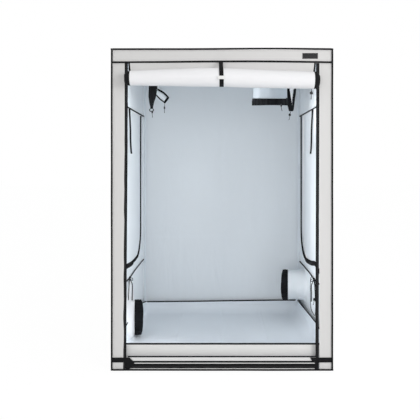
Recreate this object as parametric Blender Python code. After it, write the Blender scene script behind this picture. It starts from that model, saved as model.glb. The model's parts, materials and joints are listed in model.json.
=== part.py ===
"""Indoor grow tent, 150 x 150 x 220 cm, with its front door rolled up.

Units are metres. The floor's underside is at z = 0, its centre is the origin,
+Z is up, the front looks along -Y and +X is to the right seen from the front.
Each physical piece is one object, and pieces that meet keep seam_gap between them.
"""
import math

import bmesh
import bpy
from mathutils import Matrix, Vector

# Driving sizes of the tent
tent_width = 1.50
tent_depth = 1.50
tent_height = 2.20
cover_thickness = 0.0012
seam_gap = 0.0003
piping_radius = 0.0048

# Steel frame
pole_radius = 0.011
pole_wall = 0.0014
pole_clearance = 0.0045
connector_reach = 0.034
connector_stub = 0.048
connector_ball_radius = 0.0125
bar_hook_thickness = 0.0025
bar_hook_width = 0.012
hanging_bar_offset = 0.38

# Front face
header_height = 0.090
pillar_width = 0.083
zip_tape_width = 0.022
zip_tape_thickness = 0.0024
sill_height = 0.093
bottom_zip_height = 0.026
bottom_zip_base = 0.016
label_width = 0.106
label_height = 0.039
label_thickness = 0.0015
label_right_inset = 0.100
webbing_height = 0.033
webbing_base = 0.056
webbing_length = 0.158
webbing_slant = 0.028
webbing_thickness = 0.0015

# Front door, rolled up under the header
roll_radius = 0.0600
roll_end_radius = 0.0530
roll_end_inset = 0.0155
roll_waist = 0.0010
roll_slope = 0.006
roll_end_round = 0.012
roll_drop = 0.111
edge_tape_width = 0.030
edge_tape_radius = 0.0555
edge_tape_round = 0.006
strap_width = 0.026
strap_thickness = 0.0016
strap_back_angle = 150.0
strap_step = 5.0
buckle_width = 0.048
buckle_height = 0.021
buckle_depth = 0.0095

# Side doors
side_door_width = 1.056
side_door_drop = 0.354
side_door_bottom = 0.592
side_door_corner = 0.235
side_zip_width = 0.024

# Spill tray
tray_thickness = 0.0012
tray_front_height = 0.180
tray_back_height = 0.090
tray_level_run = 0.400
tray_inset = 0.0005

# Duct ports, seen from inside
port_radius = 0.145
port_height = 0.300
vent_height = 0.325
sleeve_wall = 0.0016
cuff_width = 0.060
cuff_wall = 0.0028
roof_port_inset = 0.344
roof_sleeve_length = 0.245
left_sleeve_sag = 0.136
left_sleeve_reach = 0.052
right_sleeve_reach = 0.132
right_port_setback = 0.295
vent_ring_width = 0.010
vent_ring_depth = 0.008

# Cable ports in the roof
sock_radius = 0.052
sock_neck_radius = 0.016
sock_hem_radius = 0.023
sock_length = 0.330
sock_neck_drop = 0.300
sock_wall = 0.0030
sock_pleat_depth = 0.0050
left_sock_inset = 0.185
right_sock_inset = 0.142
right_sock_setback = 0.525
collar_radius = 0.046
collar_length = 0.200
collar_lean = 0.036
collar_inset = 0.250
collar_setback = 0.550

# Sliders, pulls and cord locks
slider_width = 0.011
slider_height = 0.014
slider_thickness = 0.0042
slider_drop = 0.310
pull_width = 0.007
pull_length = 0.042
pull_thickness = 0.0016
pull_eye = 0.0022

# Counts of facets and ribs
tube_sides = 14
port_sides = 28
roll_sides = 24
roll_steps = 22
piping_sides = 8
corner_steps = 8
sock_pleats = 8
sock_sides = 32

half_width = tent_width / 2
half_depth = tent_depth / 2
side_door_top = tent_height - side_door_drop
roof_port_x = half_width - roof_port_inset
right_port_y = half_depth - right_port_setback
left_sock_x = left_sock_inset - half_width
right_sock_x = half_width - right_sock_inset
right_sock_y = half_depth - right_sock_setback
collar_x = collar_inset - half_width
collar_y = half_depth - collar_setback
slider_rest_height = tent_height - slider_drop
piping_out = (piping_radius + seam_gap) / math.sqrt(2)
roof_top = tent_height - piping_out - piping_radius
roof_under = roof_top - cover_thickness
floor_top = cover_thickness
wall_base = floor_top + seam_gap
wall_top = roof_under - seam_gap
front_face = -half_depth
back_face = half_depth
inner_half_width = half_width - cover_thickness
header_base = wall_top - header_height
side_inner = inner_half_width - seam_gap
pillar_inner = side_inner - pillar_width
tape_outer = pillar_inner - seam_gap
tape_inner = tape_outer - zip_tape_width
roll_half_length = tape_outer - roll_end_inset - edge_tape_width
tape_front = front_face - zip_tape_thickness / 2
tape_back = front_face + zip_tape_thickness / 2
frame_half_width = inner_half_width - pole_clearance - pole_radius
frame_half_depth = half_depth - cover_thickness - pole_clearance - pole_radius
bottom_bar_z = floor_top + seam_gap + connector_ball_radius
top_bar_z = roof_under - pole_clearance - pole_radius
pole_bore = pole_radius - pole_wall
roll_z = header_base - roll_drop
curtain_back = front_face - piping_radius - seam_gap + cover_thickness / 2
curtain_front = curtain_back - cover_thickness
roll_y = curtain_front - seam_gap - roll_radius
strap_bed = strap_width * 0.6
tray_half_width = frame_half_width - connector_ball_radius - tray_inset
tray_half_depth = frame_half_depth - connector_ball_radius - tray_inset


def clear_scene():
    for thing in list(bpy.data.objects):
        bpy.data.objects.remove(thing, do_unlink=True)


def make_material(name, colour, roughness, metallic=0.0):
    made = bpy.data.materials.new(name)
    made.use_nodes = True
    shader = made.node_tree.nodes["Principled BSDF"]
    shader.inputs["Base Color"].default_value = (*colour, 1.0)
    shader.inputs["Roughness"].default_value = roughness
    shader.inputs["Metallic"].default_value = metallic
    return made


def make_palette():
    return {
        "canvas": make_material("outer_canvas", (0.66, 0.66, 0.65), 0.75),
        "lining": make_material("reflective_lining", (0.62, 0.68, 0.73), 0.45),
        "white": make_material("white_lining", (0.86, 0.87, 0.89), 0.6),
        "black": make_material("black_webbing", (0.02, 0.02, 0.023), 0.7),
        "steel": make_material("coated_steel", (0.80, 0.81, 0.82), 0.35),
        "plastic": make_material("white_plastic", (0.82, 0.82, 0.80), 0.4),
        "metal": make_material("zip_metal", (0.06, 0.06, 0.065), 0.35, 0.8),
    }


def add_object(name, bm, material, smooth=False, origin=None):
    """Turn a bmesh in world coordinates into a named object, with its origin where given."""
    bmesh.ops.recalc_face_normals(bm, faces=bm.faces)
    mesh = bpy.data.meshes.new(name)
    if origin is not None:
        bmesh.ops.translate(bm, verts=bm.verts, vec=-Vector(origin))
    bm.to_mesh(mesh)
    bm.free()
    if smooth:
        mesh.shade_smooth()
        mesh.set_sharp_from_angle(angle=math.radians(40))
    mesh.materials.append(material)
    made = bpy.data.objects.new(name, mesh)
    bpy.context.scene.collection.objects.link(made)
    if origin is not None:
        made.location = origin
    return made


def add_box(bm, low, high):
    low = Vector(low)
    high = Vector(high)
    size = high - low
    where = Matrix.Translation((low + high) / 2) @ Matrix.Diagonal((*size, 1.0))
    bmesh.ops.create_cube(bm, size=1.0, matrix=where)


def box_piece(name, low, high, material, origin=None):
    bm = bmesh.new()
    add_box(bm, low, high)
    return add_object(name, bm, material, origin=origin)


def place_flat(across, along, u, v):
    """A point of a flat outline: across is the axis that the sheet is thin along."""
    if across == "x":
        return (along, u, v)
    if across == "y":
        return (u, along, v)
    return (u, v, along)


def add_plate(bm, loops, across, low, high):
    """A sheet between low and high. The first loop is its outline, the others are cut-outs."""
    sheet = bmesh.new()
    edges = []
    for loop in loops:
        corners = [sheet.verts.new(place_flat(across, low, u, v)) for u, v in loop]
        for index, corner in enumerate(corners):
            edges.append(sheet.edges.new((corner, corners[(index + 1) % len(corners)])))
    bmesh.ops.triangle_fill(sheet, edges=edges, use_beauty=True, use_dissolve=False)
    grown = bmesh.ops.extrude_face_region(sheet, geom=sheet.faces[:])
    moved = [item for item in grown["geom"] if isinstance(item, bmesh.types.BMVert)]
    shift = Vector(place_flat(across, high - low, 0, 0))
    bmesh.ops.translate(sheet, verts=moved, vec=shift)
    bmesh.ops.recalc_face_normals(sheet, faces=sheet.faces)
    holder = bpy.data.meshes.new("sheet")
    sheet.to_mesh(holder)
    sheet.free()
    bm.from_mesh(holder)
    bpy.data.meshes.remove(holder)


def plate_piece(name, loops, across, low, high, material, origin=None):
    bm = bmesh.new()
    add_plate(bm, loops, across, low, high)
    return add_object(name, bm, material, origin=origin)


def rectangle(low_u, high_u, low_v, high_v):
    return [(low_u, low_v), (high_u, low_v), (high_u, high_v), (low_u, high_v)]


def circle(centre_u, centre_v, radius, count):
    turns = [2 * math.pi * step / count for step in range(count)]
    return [(centre_u + radius * math.cos(a), centre_v + radius * math.sin(a)) for a in turns]


def turned_rings(profile, start, direction, sides):
    """Points of a closed profile of (radius, distance) pairs, turned round an axis."""
    axis = Vector(direction).normalized()
    across = Vector((0, 1, 0)) if abs(axis.y) < 0.5 else Vector((1, 0, 0))
    other = axis.cross(across)
    rings = []
    for step in range(sides):
        turn = 2 * math.pi * step / sides
        spoke = across * math.cos(turn) + other * math.sin(turn)
        rings.append([Vector(start) + axis * far + spoke * radius for radius, far in profile])
    return rings


def add_turned(bm, profile, start, direction, sides=tube_sides):
    """A ring-shaped solid: its closed profile never touches the axis."""
    rings = [[bm.verts.new(point) for point in ring]
             for ring in turned_rings(profile, start, direction, sides)]
    for step in range(sides):
        here = rings[step]
        after = rings[(step + 1) % sides]
        for index in range(len(profile)):
            beyond = (index + 1) % len(profile)
            bm.faces.new((here[index], here[beyond], after[beyond], after[index]))


def add_tube(bm, start, end, outer, inner, sides=tube_sides):
    length = (Vector(end) - Vector(start)).length
    profile = [(outer, 0), (outer, length), (inner, length), (inner, 0)]
    add_turned(bm, profile, start, Vector(end) - Vector(start), sides)


def add_loft(bm, outer_rings, inner_rings):
    """A hollow sleeve from matching outer and inner rings of points."""
    outside = [[bm.verts.new(point) for point in ring] for ring in outer_rings]
    inside = [[bm.verts.new(point) for point in ring] for ring in inner_rings]
    sides = len(outside[0])
    for step in range(sides):
        beyond = (step + 1) % sides
        for index in range(len(outside) - 1):
            bm.faces.new((outside[index][step], outside[index][beyond],
                          outside[index + 1][beyond], outside[index + 1][step]))
            bm.faces.new((inside[index][step], inside[index + 1][step],
                          inside[index + 1][beyond], inside[index][beyond]))
        bm.faces.new((outside[0][step], inside[0][step], inside[0][beyond], outside[0][beyond]))
        bm.faces.new((outside[-1][step], outside[-1][beyond],
                      inside[-1][beyond], inside[-1][step]))


def add_swept(bm, points, radius, side, closed=False, sides=piping_sides):
    """A round cord along points that lie in the plane square to side."""
    side = Vector(side)
    count = len(points)
    rings = []
    for index, point in enumerate(points):
        before = points[index - 1] if index or closed else points[index]
        after = points[(index + 1) % count] if index + 1 < count or closed else points[index]
        lift = side.cross((Vector(after) - Vector(before)).normalized())
        turns = [2 * math.pi * step / sides for step in range(sides)]
        rings.append([bm.verts.new(Vector(point) + side * radius * math.cos(turn)
                                   + lift * radius * math.sin(turn)) for turn in turns])
    spans = count if closed else count - 1
    for index in range(spans):
        here = rings[index]
        after = rings[(index + 1) % count]
        for step in range(sides):
            beyond = (step + 1) % sides
            bm.faces.new((here[step], here[beyond], after[beyond], after[step]))
    if not closed:
        bm.faces.new(rings[0])
        bm.faces.new(rings[-1])


def join_solids(parts):
    """One mesh from a list of overlapping bmesh solids, by exact Boolean union."""
    helpers = []
    for index, part in enumerate(parts):
        bmesh.ops.recalc_face_normals(part, faces=part.faces)
        mesh = bpy.data.meshes.new(f"solid_{index}")
        part.to_mesh(mesh)
        part.free()
        helper = bpy.data.objects.new(f"solid_{index}", mesh)
        bpy.context.scene.collection.objects.link(helper)
        helpers.append(helper)
    for index, helper in enumerate(helpers[1:]):
        join = helpers[0].modifiers.new(f"join_{index}", "BOOLEAN")
        join.operation = "UNION"
        join.solver = "EXACT"
        join.object = helper
    bpy.context.view_layer.update()
    seen = helpers[0].evaluated_get(bpy.context.evaluated_depsgraph_get())
    joined = bmesh.new()
    joined.from_mesh(seen.to_mesh())
    seen.to_mesh_clear()
    for helper in helpers:
        bpy.data.objects.remove(helper, do_unlink=True)
    return joined


def rounded_frame(low_u, high_u, low_v, high_v, radius, steps):
    """A rectangle with round corners, as a closed list of points."""
    points = []
    corners = ((high_u - radius, high_v - radius, 0), (low_u + radius, high_v - radius, 1),
               (low_u + radius, low_v + radius, 2), (high_u - radius, low_v + radius, 3))
    for centre_u, centre_v, quarter in corners:
        for step in range(steps + 1):
            turn = math.pi / 2 * (quarter + step / steps)
            points.append((centre_u + radius * math.cos(turn), centre_v + radius * math.sin(turn)))
    return points


def build_frame(colours):
    """Posts, horizontal bars, three-way connectors and the bars that carry lights."""
    steel = colours["steel"]
    reach = connector_reach + seam_gap
    for depth_name, along_y in (("front", -1), ("back", 1)):
        for side_name, along_x in (("left", -1), ("right", 1)):
            foot = Vector((along_x * frame_half_width, along_y * frame_half_depth, 0))
            bm = bmesh.new()
            add_tube(bm, foot + Vector((0, 0, bottom_bar_z + reach)),
                     foot + Vector((0, 0, top_bar_z - reach)), pole_radius, pole_bore)
            add_object(f"post_{depth_name}_{side_name}", bm, steel, smooth=True)
    for level, level_z in (("bottom", bottom_bar_z), ("top", top_bar_z)):
        for name, sign in (("front", -1), ("back", 1)):
            bm = bmesh.new()
            end = frame_half_width - reach
            along_y = sign * frame_half_depth
            add_tube(bm, (-end, along_y, level_z), (end, along_y, level_z), pole_radius, pole_bore)
            add_object(f"{level}_bar_{name}", bm, steel, smooth=True)
        for name, sign in (("left", -1), ("right", 1)):
            bm = bmesh.new()
            end = frame_half_depth - reach
            along_x = sign * frame_half_width
            add_tube(bm, (along_x, -end, level_z), (along_x, end, level_z), pole_radius, pole_bore)
            add_object(f"{level}_bar_{name}", bm, steel, smooth=True)
    build_connectors(colours)
    build_hanging_bars(colours)


def add_spindle(bm, profile, start, direction, sides=tube_sides):
    """A solid of revolution from (radius, distance) pairs, closed by a flat disc at each end."""
    rings = turned_rings(profile, start, direction, sides)
    made = [[bm.verts.new(point) for point in ring] for ring in rings]
    for step in range(sides):
        here = made[step]
        after = made[(step + 1) % sides]
        for index in range(len(profile) - 1):
            bm.faces.new((here[index], here[index + 1], after[index + 1], after[index]))
    bm.faces.new([ring[0] for ring in made])
    bm.faces.new([ring[-1] for ring in made])


def build_connectors(colours):
    """Three-way corners: a ball with a stub along each axis, turned to face into the frame."""
    stub_radius = pole_bore - seam_gap
    ball = bmesh.new()
    bmesh.ops.create_uvsphere(ball, u_segments=tube_sides, v_segments=tube_sides // 2,
                              radius=connector_ball_radius)
    parts = [ball]
    profile = [(pole_radius, 0), (pole_radius, connector_reach), (stub_radius, connector_reach),
               (stub_radius, connector_reach + connector_stub)]
    for axis in ((1, 0, 0), (0, 1, 0), (0, 0, 1)):
        arm = bmesh.new()
        add_spindle(arm, profile, (0, 0, 0), axis)
        parts.append(arm)
    corner = join_solids(parts)
    corners = (("front_left", -1, -1), ("front_right", 1, -1),
               ("back_right", 1, 1), ("back_left", -1, 1))
    for level, level_z in (("bottom", bottom_bar_z), ("top", top_bar_z)):
        for quarter, (name, sign_x, sign_y) in enumerate(corners):
            turn = Matrix.Rotation(math.pi / 2 * quarter, 4, "Z")
            if level == "top":
                turn = turn @ Matrix.Rotation(math.pi, 4, Vector((1, 1, 0)))
            place = Vector((sign_x * frame_half_width, sign_y * frame_half_depth, level_z))
            bm = corner.copy()
            bmesh.ops.transform(bm, matrix=Matrix.Translation(place) @ turn, verts=bm.verts)
            add_object(f"connector_{level}_{name}", bm, colours["steel"], smooth=True)
    corner.free()


def build_hanging_bars(colours):
    """Two bars that hang from hooks over the side bars and can be slid to and fro."""
    hook_inner = pole_radius + seam_gap
    hook_outer = hook_inner + bar_hook_thickness
    reach = frame_half_width - hook_inner - bar_hook_thickness / 2
    for name, sign in (("front", -1), ("back", 1)):
        middle = sign * hanging_bar_offset
        low = middle - bar_hook_width / 2
        tube = bmesh.new()
        add_tube(tube, (-reach, middle, top_bar_z), (reach, middle, top_bar_z), pole_radius, pole_bore)
        parts = [tube]
        for outward in (-1, 1):
            centre = outward * frame_half_width
            turns = [math.pi * step / corner_steps for step in range(corner_steps + 1)]
            outer = [(centre + outward * math.cos(turn) * hook_outer,
                      top_bar_z + math.sin(turn) * hook_outer) for turn in turns]
            inner = [(centre + outward * math.cos(turn) * hook_inner,
                      top_bar_z + math.sin(turn) * hook_inner) for turn in turns]
            tail_z = top_bar_z - pole_radius
            tail = [(centre - outward * hook_outer, tail_z), (centre - outward * hook_inner, tail_z)]
            hook = bmesh.new()
            add_plate(hook, [outer + tail + inner[::-1]], "y", low, low + bar_hook_width)
            parts.append(hook)
        add_object(f"hanging_bar_{name}", join_solids(parts), colours["steel"], smooth=True,
                   origin=(0, middle, top_bar_z))


def build_cover(colours):
    """Floor, roof and walls of the cover, each a sewn panel, with the cut-outs that they need."""
    canvas = colours["canvas"]
    box_piece("floor_panel", (-half_width, -half_depth, 0), (half_width, half_depth, floor_top), canvas)
    box_piece("back_wall", (-half_width, back_face - cover_thickness, wall_base),
              (half_width, back_face, wall_top), canvas)
    hole = port_radius + sleeve_wall + seam_gap
    sock_hole = sock_radius + seam_gap * 3
    collar_hole = collar_radius + sleeve_wall + seam_gap
    roof_loops = [rectangle(-half_width, half_width, -half_depth, half_depth),
                  circle(roof_port_x, 0, hole, port_sides),
                  circle(left_sock_x, 0, sock_hole, sock_sides),
                  circle(right_sock_x, right_sock_y, sock_hole, sock_sides),
                  circle(collar_x, collar_y, collar_hole, port_sides)]
    plate_piece("roof_panel", roof_loops, "z", roof_under, roof_top, canvas)
    wall_outline = rectangle(front_face, back_face - cover_thickness - seam_gap, wall_base, wall_top)
    grow = side_zip_width + seam_gap * 2
    cut = side_door_outline(grow)
    for name, side, ports in (("left_wall", -1, [(0, port_height)]),
                              ("right_wall", 1, [(0, vent_height), (right_port_y, port_height)])):
        loops = [wall_outline, cut]
        for depth, level in ports:
            loops.append(circle(depth, level, hole, port_sides))
        low = sorted((side * half_width, side * inner_half_width))
        plate_piece(name, loops, "x", low[0], low[1], canvas)


def side_door_outline(grow):
    """Straight top edge, round bottom corners; grow widens it at the sides and the bottom."""
    half = side_door_width / 2 + grow
    low = side_door_bottom - grow
    high = side_door_top + (seam_gap if grow else 0)
    radius = side_door_corner + grow
    points = [(half, high), (-half, high)]
    for centre, quarter in ((-half + radius, 2), (half - radius, 3)):
        for step in range(corner_steps + 1):
            turn = math.pi / 2 * (quarter + step / corner_steps)
            points.append((centre + radius * math.cos(turn), low + radius + radius * math.sin(turn)))
    return points


def build_side_doors(colours):
    """Flaps in the side walls, sewn along the top, with a zip round the other three edges."""
    for name, side in (("left", -1), ("right", 1)):
        low = sorted((side * half_width, side * inner_half_width))
        plate_piece(f"side_door_{name}", [side_door_outline(0)], "x", low[0], low[1],
                    colours["canvas"], origin=(side * half_width, 0, side_door_top))
        outer = side_door_outline(side_zip_width + seam_gap)
        inner = side_door_outline(seam_gap)
        band = side_zip_band(outer, inner)
        proud = side * (zip_tape_thickness - cover_thickness) / 2
        low = sorted((side * half_width + proud, side * inner_half_width - proud))
        plate_piece(f"side_zip_{name}", [band], "x", low[0], low[1], colours["black"])


def side_zip_band(outer, inner):
    """The U between two door outlines, open along the top."""
    return outer[1:] + [outer[0]] + [inner[0]] + inner[:1:-1] + [inner[1]]


def build_front(colours):
    canvas = colours["canvas"]
    back = front_face + cover_thickness
    side = side_inner
    box_piece("front_header", (-side, front_face, header_base), (side, back, wall_top), canvas)
    for name, sign in (("left", -1), ("right", 1)):
        low = sorted((sign * side, sign * pillar_inner))
        box_piece(f"front_pillar_{name}", (low[0], front_face, wall_base),
                  (low[1], back, header_base - seam_gap), canvas)
        low = sorted((sign * tape_outer, sign * tape_inner))
        box_piece(f"zip_tape_{name}", (low[0], tape_front, wall_base + piping_radius * 2),
                  (low[1], tape_back, header_base - seam_gap), colours["black"])
    sill_side = tape_inner - seam_gap
    box_piece("front_sill", (-sill_side, front_face, wall_base), (sill_side, back, sill_height), canvas)
    zip_back = front_face - seam_gap
    box_piece("zip_tape_bottom", (-sill_side, zip_back - zip_tape_thickness / 2, bottom_zip_base),
              (sill_side, zip_back, bottom_zip_base + bottom_zip_height), colours["black"])
    label_back = front_face - seam_gap
    label_z = (header_base + wall_top) / 2
    box_piece("header_label",
              (half_width - label_right_inset - label_width, label_back - label_thickness,
               label_z - label_height / 2),
              (half_width - label_right_inset, label_back, label_z + label_height / 2),
              colours["black"])
    web_back = tape_front - seam_gap
    for name, sign in (("left", -1), ("right", 1)):
        outer = sign * (half_width - piping_radius / 2)
        tip = sign * (half_width - webbing_length)
        loop = [(outer, webbing_base), (tip, webbing_base),
                (tip + sign * webbing_slant, webbing_base + webbing_height),
                (outer, webbing_base + webbing_height)]
        plate_piece(f"corner_webbing_{name}", [loop], "y", web_back - webbing_thickness, web_back,
                    colours["black"])


def build_piping(colours):
    """Black piping sewn along every outer edge and under the header."""
    out_x = half_width + piping_out
    out_y = half_depth + piping_radius + seam_gap
    low_z = piping_radius + seam_gap
    high_z = roof_top + piping_out
    along_x = Vector((1, 0, 0))
    along_y = Vector((0, 1, 0))
    loop = rounded_frame(-out_x, out_x, low_z, high_z, piping_radius * 2, corner_steps // 2)
    front = bmesh.new()
    add_swept(front, [Vector((u, -out_y, v)) for u, v in loop], piping_radius, along_y, closed=True)
    header_y = front_face - seam_gap - piping_radius
    header_z = header_base + piping_radius
    under = bmesh.new()
    add_swept(under, [Vector((-out_x, header_y, header_z)), Vector((out_x, header_y, header_z))],
              piping_radius, along_y)
    add_object("piping_front", join_solids([front, under]), colours["black"], smooth=True)
    back = bmesh.new()
    add_swept(back, [Vector((u, out_y, v)) for u, v in loop], piping_radius, along_y, closed=True)
    parts = [back]
    end_y = out_y - piping_radius - seam_gap
    for sign in (-1, 1):
        for level in (low_z, high_z):
            across = sign * (out_x if level > low_z else half_width + piping_radius + seam_gap)
            run = bmesh.new()
            add_swept(run, [Vector((across, -end_y, level)), Vector((across, out_y, level))],
                      piping_radius, along_x)
            parts.append(run)
    add_object("piping_back", join_solids(parts), colours["black"], smooth=True)


def roll_ring(x, radius):
    """A ring of the rolled door, which sinks a little from its left end to its right end."""
    centre_z = roll_z - roll_slope * x / roll_half_length
    turns = [2 * math.pi * step / roll_sides for step in range(roll_sides)]
    return [Vector((x, roll_y + radius * math.cos(turn), centre_z + radius * math.sin(turn)))
            for turn in turns]


def roll_radius_at(x):
    """The roll is fullest beside its strap, drawn in under it, and rounded off at its ends."""
    share = min(abs(x) / roll_half_length, 1)
    radius = roll_end_radius + (roll_radius - roll_end_radius) * math.sqrt(1 - share ** 3)
    if abs(x) <= strap_bed:
        radius = roll_radius - roll_waist
    edge = roll_half_length - abs(x)
    if edge < roll_end_round:
        radius -= roll_end_round * (1 - math.sqrt(max(0, 1 - (1 - edge / roll_end_round) ** 2)))
    return radius


def build_front_door(colours):
    """The rolled door, the cloth above it, its rolled zip edges and the strap that holds it."""
    hang = (0, roll_y, roll_z)
    curtain_top = header_base - seam_gap
    box_piece("door_curtain", (-roll_half_length, curtain_front, roll_z),
              (roll_half_length, curtain_back, curtain_top), colours["canvas"])
    bm = bmesh.new()
    places = [-roll_half_length * math.cos(math.pi * step / roll_steps)
              for step in range(roll_steps + 1) if step * 2 != roll_steps]
    places = sorted(places + [-strap_width, -strap_bed, strap_bed, strap_width])
    stops = [(x, roll_radius_at(x)) for x in places]
    outer_end = roll_half_length + edge_tape_width
    rim = edge_tape_radius - edge_tape_round
    stops = ([(-outer_end, rim), (-outer_end + edge_tape_round, edge_tape_radius),
              (-roll_half_length, edge_tape_radius)] + stops
             + [(roll_half_length, edge_tape_radius), (outer_end - edge_tape_round, edge_tape_radius),
                (outer_end, rim)])
    rings = [[bm.verts.new(point) for point in roll_ring(x, radius)] for x, radius in stops]
    for here, after in zip(rings, rings[1:]):
        for step in range(roll_sides):
            beyond = (step + 1) % roll_sides
            bm.faces.new((here[step], here[beyond], after[beyond], after[step]))
    bm.faces.new(rings[0])
    bm.faces.new(rings[-1])
    add_object("door_roll", bm, colours["white"], smooth=True, origin=hang)
    build_strap(colours, hang)


def strap_arc(radius, first, last):
    """Points round the roll; 0 degrees is its front and the angle grows towards its underside."""
    count = max(2, round(abs(last - first) / strap_step))
    points = []
    for step in range(count + 1):
        turn = math.radians(first + (last - first) * step / count)
        points.append((roll_y - radius * math.cos(turn), roll_z - radius * math.sin(turn)))
    return points


def build_strap(colours, hang):
    inner = roll_radius - roll_waist + seam_gap
    outer = inner + strap_thickness
    half_gap = math.degrees(math.asin((buckle_height / 2 + seam_gap) / outer))
    root_y = curtain_front - seam_gap
    root_z = header_base - seam_gap
    reach = math.hypot(roll_y - root_y, root_z - roll_z)
    rise = math.atan2(root_z - roll_z, roll_y - root_y)
    lift = rise - math.acos(inner / reach)
    first = -math.degrees(lift)
    lead = [(root_y, root_z), (root_y - strap_thickness / math.cos(lift), root_z)]
    wide = strap_width / 2
    upper = lead + strap_arc(outer, first, -half_gap) + strap_arc(inner, -half_gap, first)
    plate_piece("door_strap_upper", [upper], "x", -wide, wide, colours["black"])
    lower = (strap_arc(outer, half_gap, strap_back_angle)
             + strap_arc(inner, strap_back_angle, half_gap))
    plate_piece("door_strap_lower", [lower], "x", -wide, wide, colours["black"], origin=hang)
    face = roll_y - roll_radius - seam_gap
    bm = bmesh.new()
    rim = rectangle(-buckle_width / 2, buckle_width / 2,
                    roll_z - buckle_height / 2, roll_z + buckle_height / 2)
    add_plate(bm, [rim], "y", face - buckle_depth, face)
    add_object("strap_buckle", bm, colours["plastic"])


def tray_side_height(y):
    """The tray's side wall is level behind its front wall, then falls to its back wall."""
    front = -half_depth + tray_level_run
    if y <= front:
        return tray_front_height
    share = (y - front) / (tray_half_depth - front)
    return tray_front_height + (tray_back_height - tray_front_height) * share


def build_tray(colours):
    """A watertight tray: a floor and four upright walls in one folded sheet."""
    bm = bmesh.new()
    w = tray_half_width
    d = tray_half_depth
    t = tray_thickness
    base = floor_top + seam_gap
    turn_y = -half_depth + tray_level_run
    spots = [(-w, -d), (w, -d), (w, turn_y), (w, d), (-w, d), (-w, turn_y)]
    inner_spots = [(-w + t, -d + t), (w - t, -d + t), (w - t, turn_y), (w - t, d - t),
                   (-w + t, d - t), (-w + t, turn_y)]
    outer_low = [bm.verts.new((x, y, base)) for x, y in spots]
    outer_high = [bm.verts.new((x, y, base + tray_side_height(y))) for x, y in spots]
    inner_high = [bm.verts.new((x, y, base + tray_side_height(y))) for x, y in inner_spots]
    inner_low = [bm.verts.new((x, y, base + t)) for x, y in inner_spots]
    count = len(spots)
    for index in range(count):
        beyond = (index + 1) % count
        bm.faces.new((outer_low[index], outer_low[beyond], outer_high[beyond], outer_high[index]))
        bm.faces.new((outer_high[index], outer_high[beyond], inner_high[beyond], inner_high[index]))
        bm.faces.new((inner_high[index], inner_high[beyond], inner_low[beyond], inner_low[index]))
    bm.faces.new(outer_low)
    bm.faces.new(inner_low)
    add_object("spill_tray", bm, colours["lining"])


def ring_points(centre, first_axis, second_axis, radius, squash=1.0, pleat=0.0):
    points = []
    for step in range(sock_sides if pleat else port_sides):
        count = sock_sides if pleat else port_sides
        turn = 2 * math.pi * step / count
        reach = radius + pleat * math.cos(sock_pleats * turn)
        points.append(Vector(centre) + Vector(first_axis) * reach * math.cos(turn)
                      + Vector(second_axis) * reach * squash * math.sin(turn))
    return points


def build_ports(colours):
    """Duct sleeves in the roof and walls, each with a cuff at its end, and the vent cover."""
    flat = (Vector((1, 0, 0)), Vector((0, 1, 0)))
    upright = (Vector((0, 1, 0)), Vector((0, 0, 1)))
    low = roof_top - roof_sleeve_length
    add_cuffed_sleeve("roof_sleeve", [Vector((roof_port_x, 0, roof_top)), Vector((roof_port_x, 0, low))],
                      Vector((0, 0, -1)), flat, colours["white"])
    over_tray = -tray_half_width + tray_thickness + seam_gap
    fall = port_height - left_sleeve_sag
    cuff_x = -half_width + left_sleeve_reach
    stops = [Vector((-half_width, 0, port_height)), Vector((over_tray, 0, port_height)),
             Vector(((over_tray + cuff_x) / 2, 0, (port_height + fall) / 2)), Vector((cuff_x, 0, fall))]
    add_cuffed_sleeve("left_sleeve", stops, Vector((1, 0, 0)), upright, colours["white"])
    cuff_x = half_width - right_sleeve_reach
    stops = [Vector((half_width, right_port_y, port_height)),
             Vector((cuff_x, right_port_y, port_height))]
    add_cuffed_sleeve("right_sleeve", stops, Vector((-1, 0, 0)), upright, colours["white"])
    bm = bmesh.new()
    rim = port_radius + sleeve_wall
    depth = cover_thickness + seam_gap
    add_spindle(bm, [(rim, 0), (rim, depth), (rim + vent_ring_width, depth),
                     (rim + vent_ring_width, depth + vent_ring_depth), (rim, depth + vent_ring_depth),
                     (rim, depth + cover_thickness)],
                Vector((half_width, 0, vent_height)), (-1, 0, 0), port_sides)
    add_object("vent_cover", bm, colours["white"])


def add_cuffed_sleeve(name, stops, along, axes, material):
    """A soft tube through ring centres, with a thicker cuff added along its last direction."""
    outer = [ring_points(stop, *axes, port_radius + sleeve_wall) for stop in stops]
    inner = [ring_points(stop, *axes, port_radius) for stop in stops]
    for reach, wall in ((0, cuff_wall), (cuff_width, cuff_wall)):
        centre = stops[-1] + along * reach
        outer.append(ring_points(centre, *axes, port_radius + wall))
        inner.append(ring_points(centre, *axes, port_radius - (cuff_wall - sleeve_wall)))
    bm = bmesh.new()
    add_loft(bm, outer, inner)
    add_object(name, bm, material, smooth=True)


def sock_radius_at(share):
    """Radius of a drawn sock: full at the roof, smallest at its tie, flared at its hem."""
    neck = sock_neck_drop / sock_length
    if share < neck:
        ease = math.sin(share / neck * math.pi / 2)
        return sock_radius + (sock_neck_radius - sock_radius) * ease
    return sock_neck_radius + (sock_hem_radius - sock_neck_radius) * (share - neck) / (1 - neck)


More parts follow.
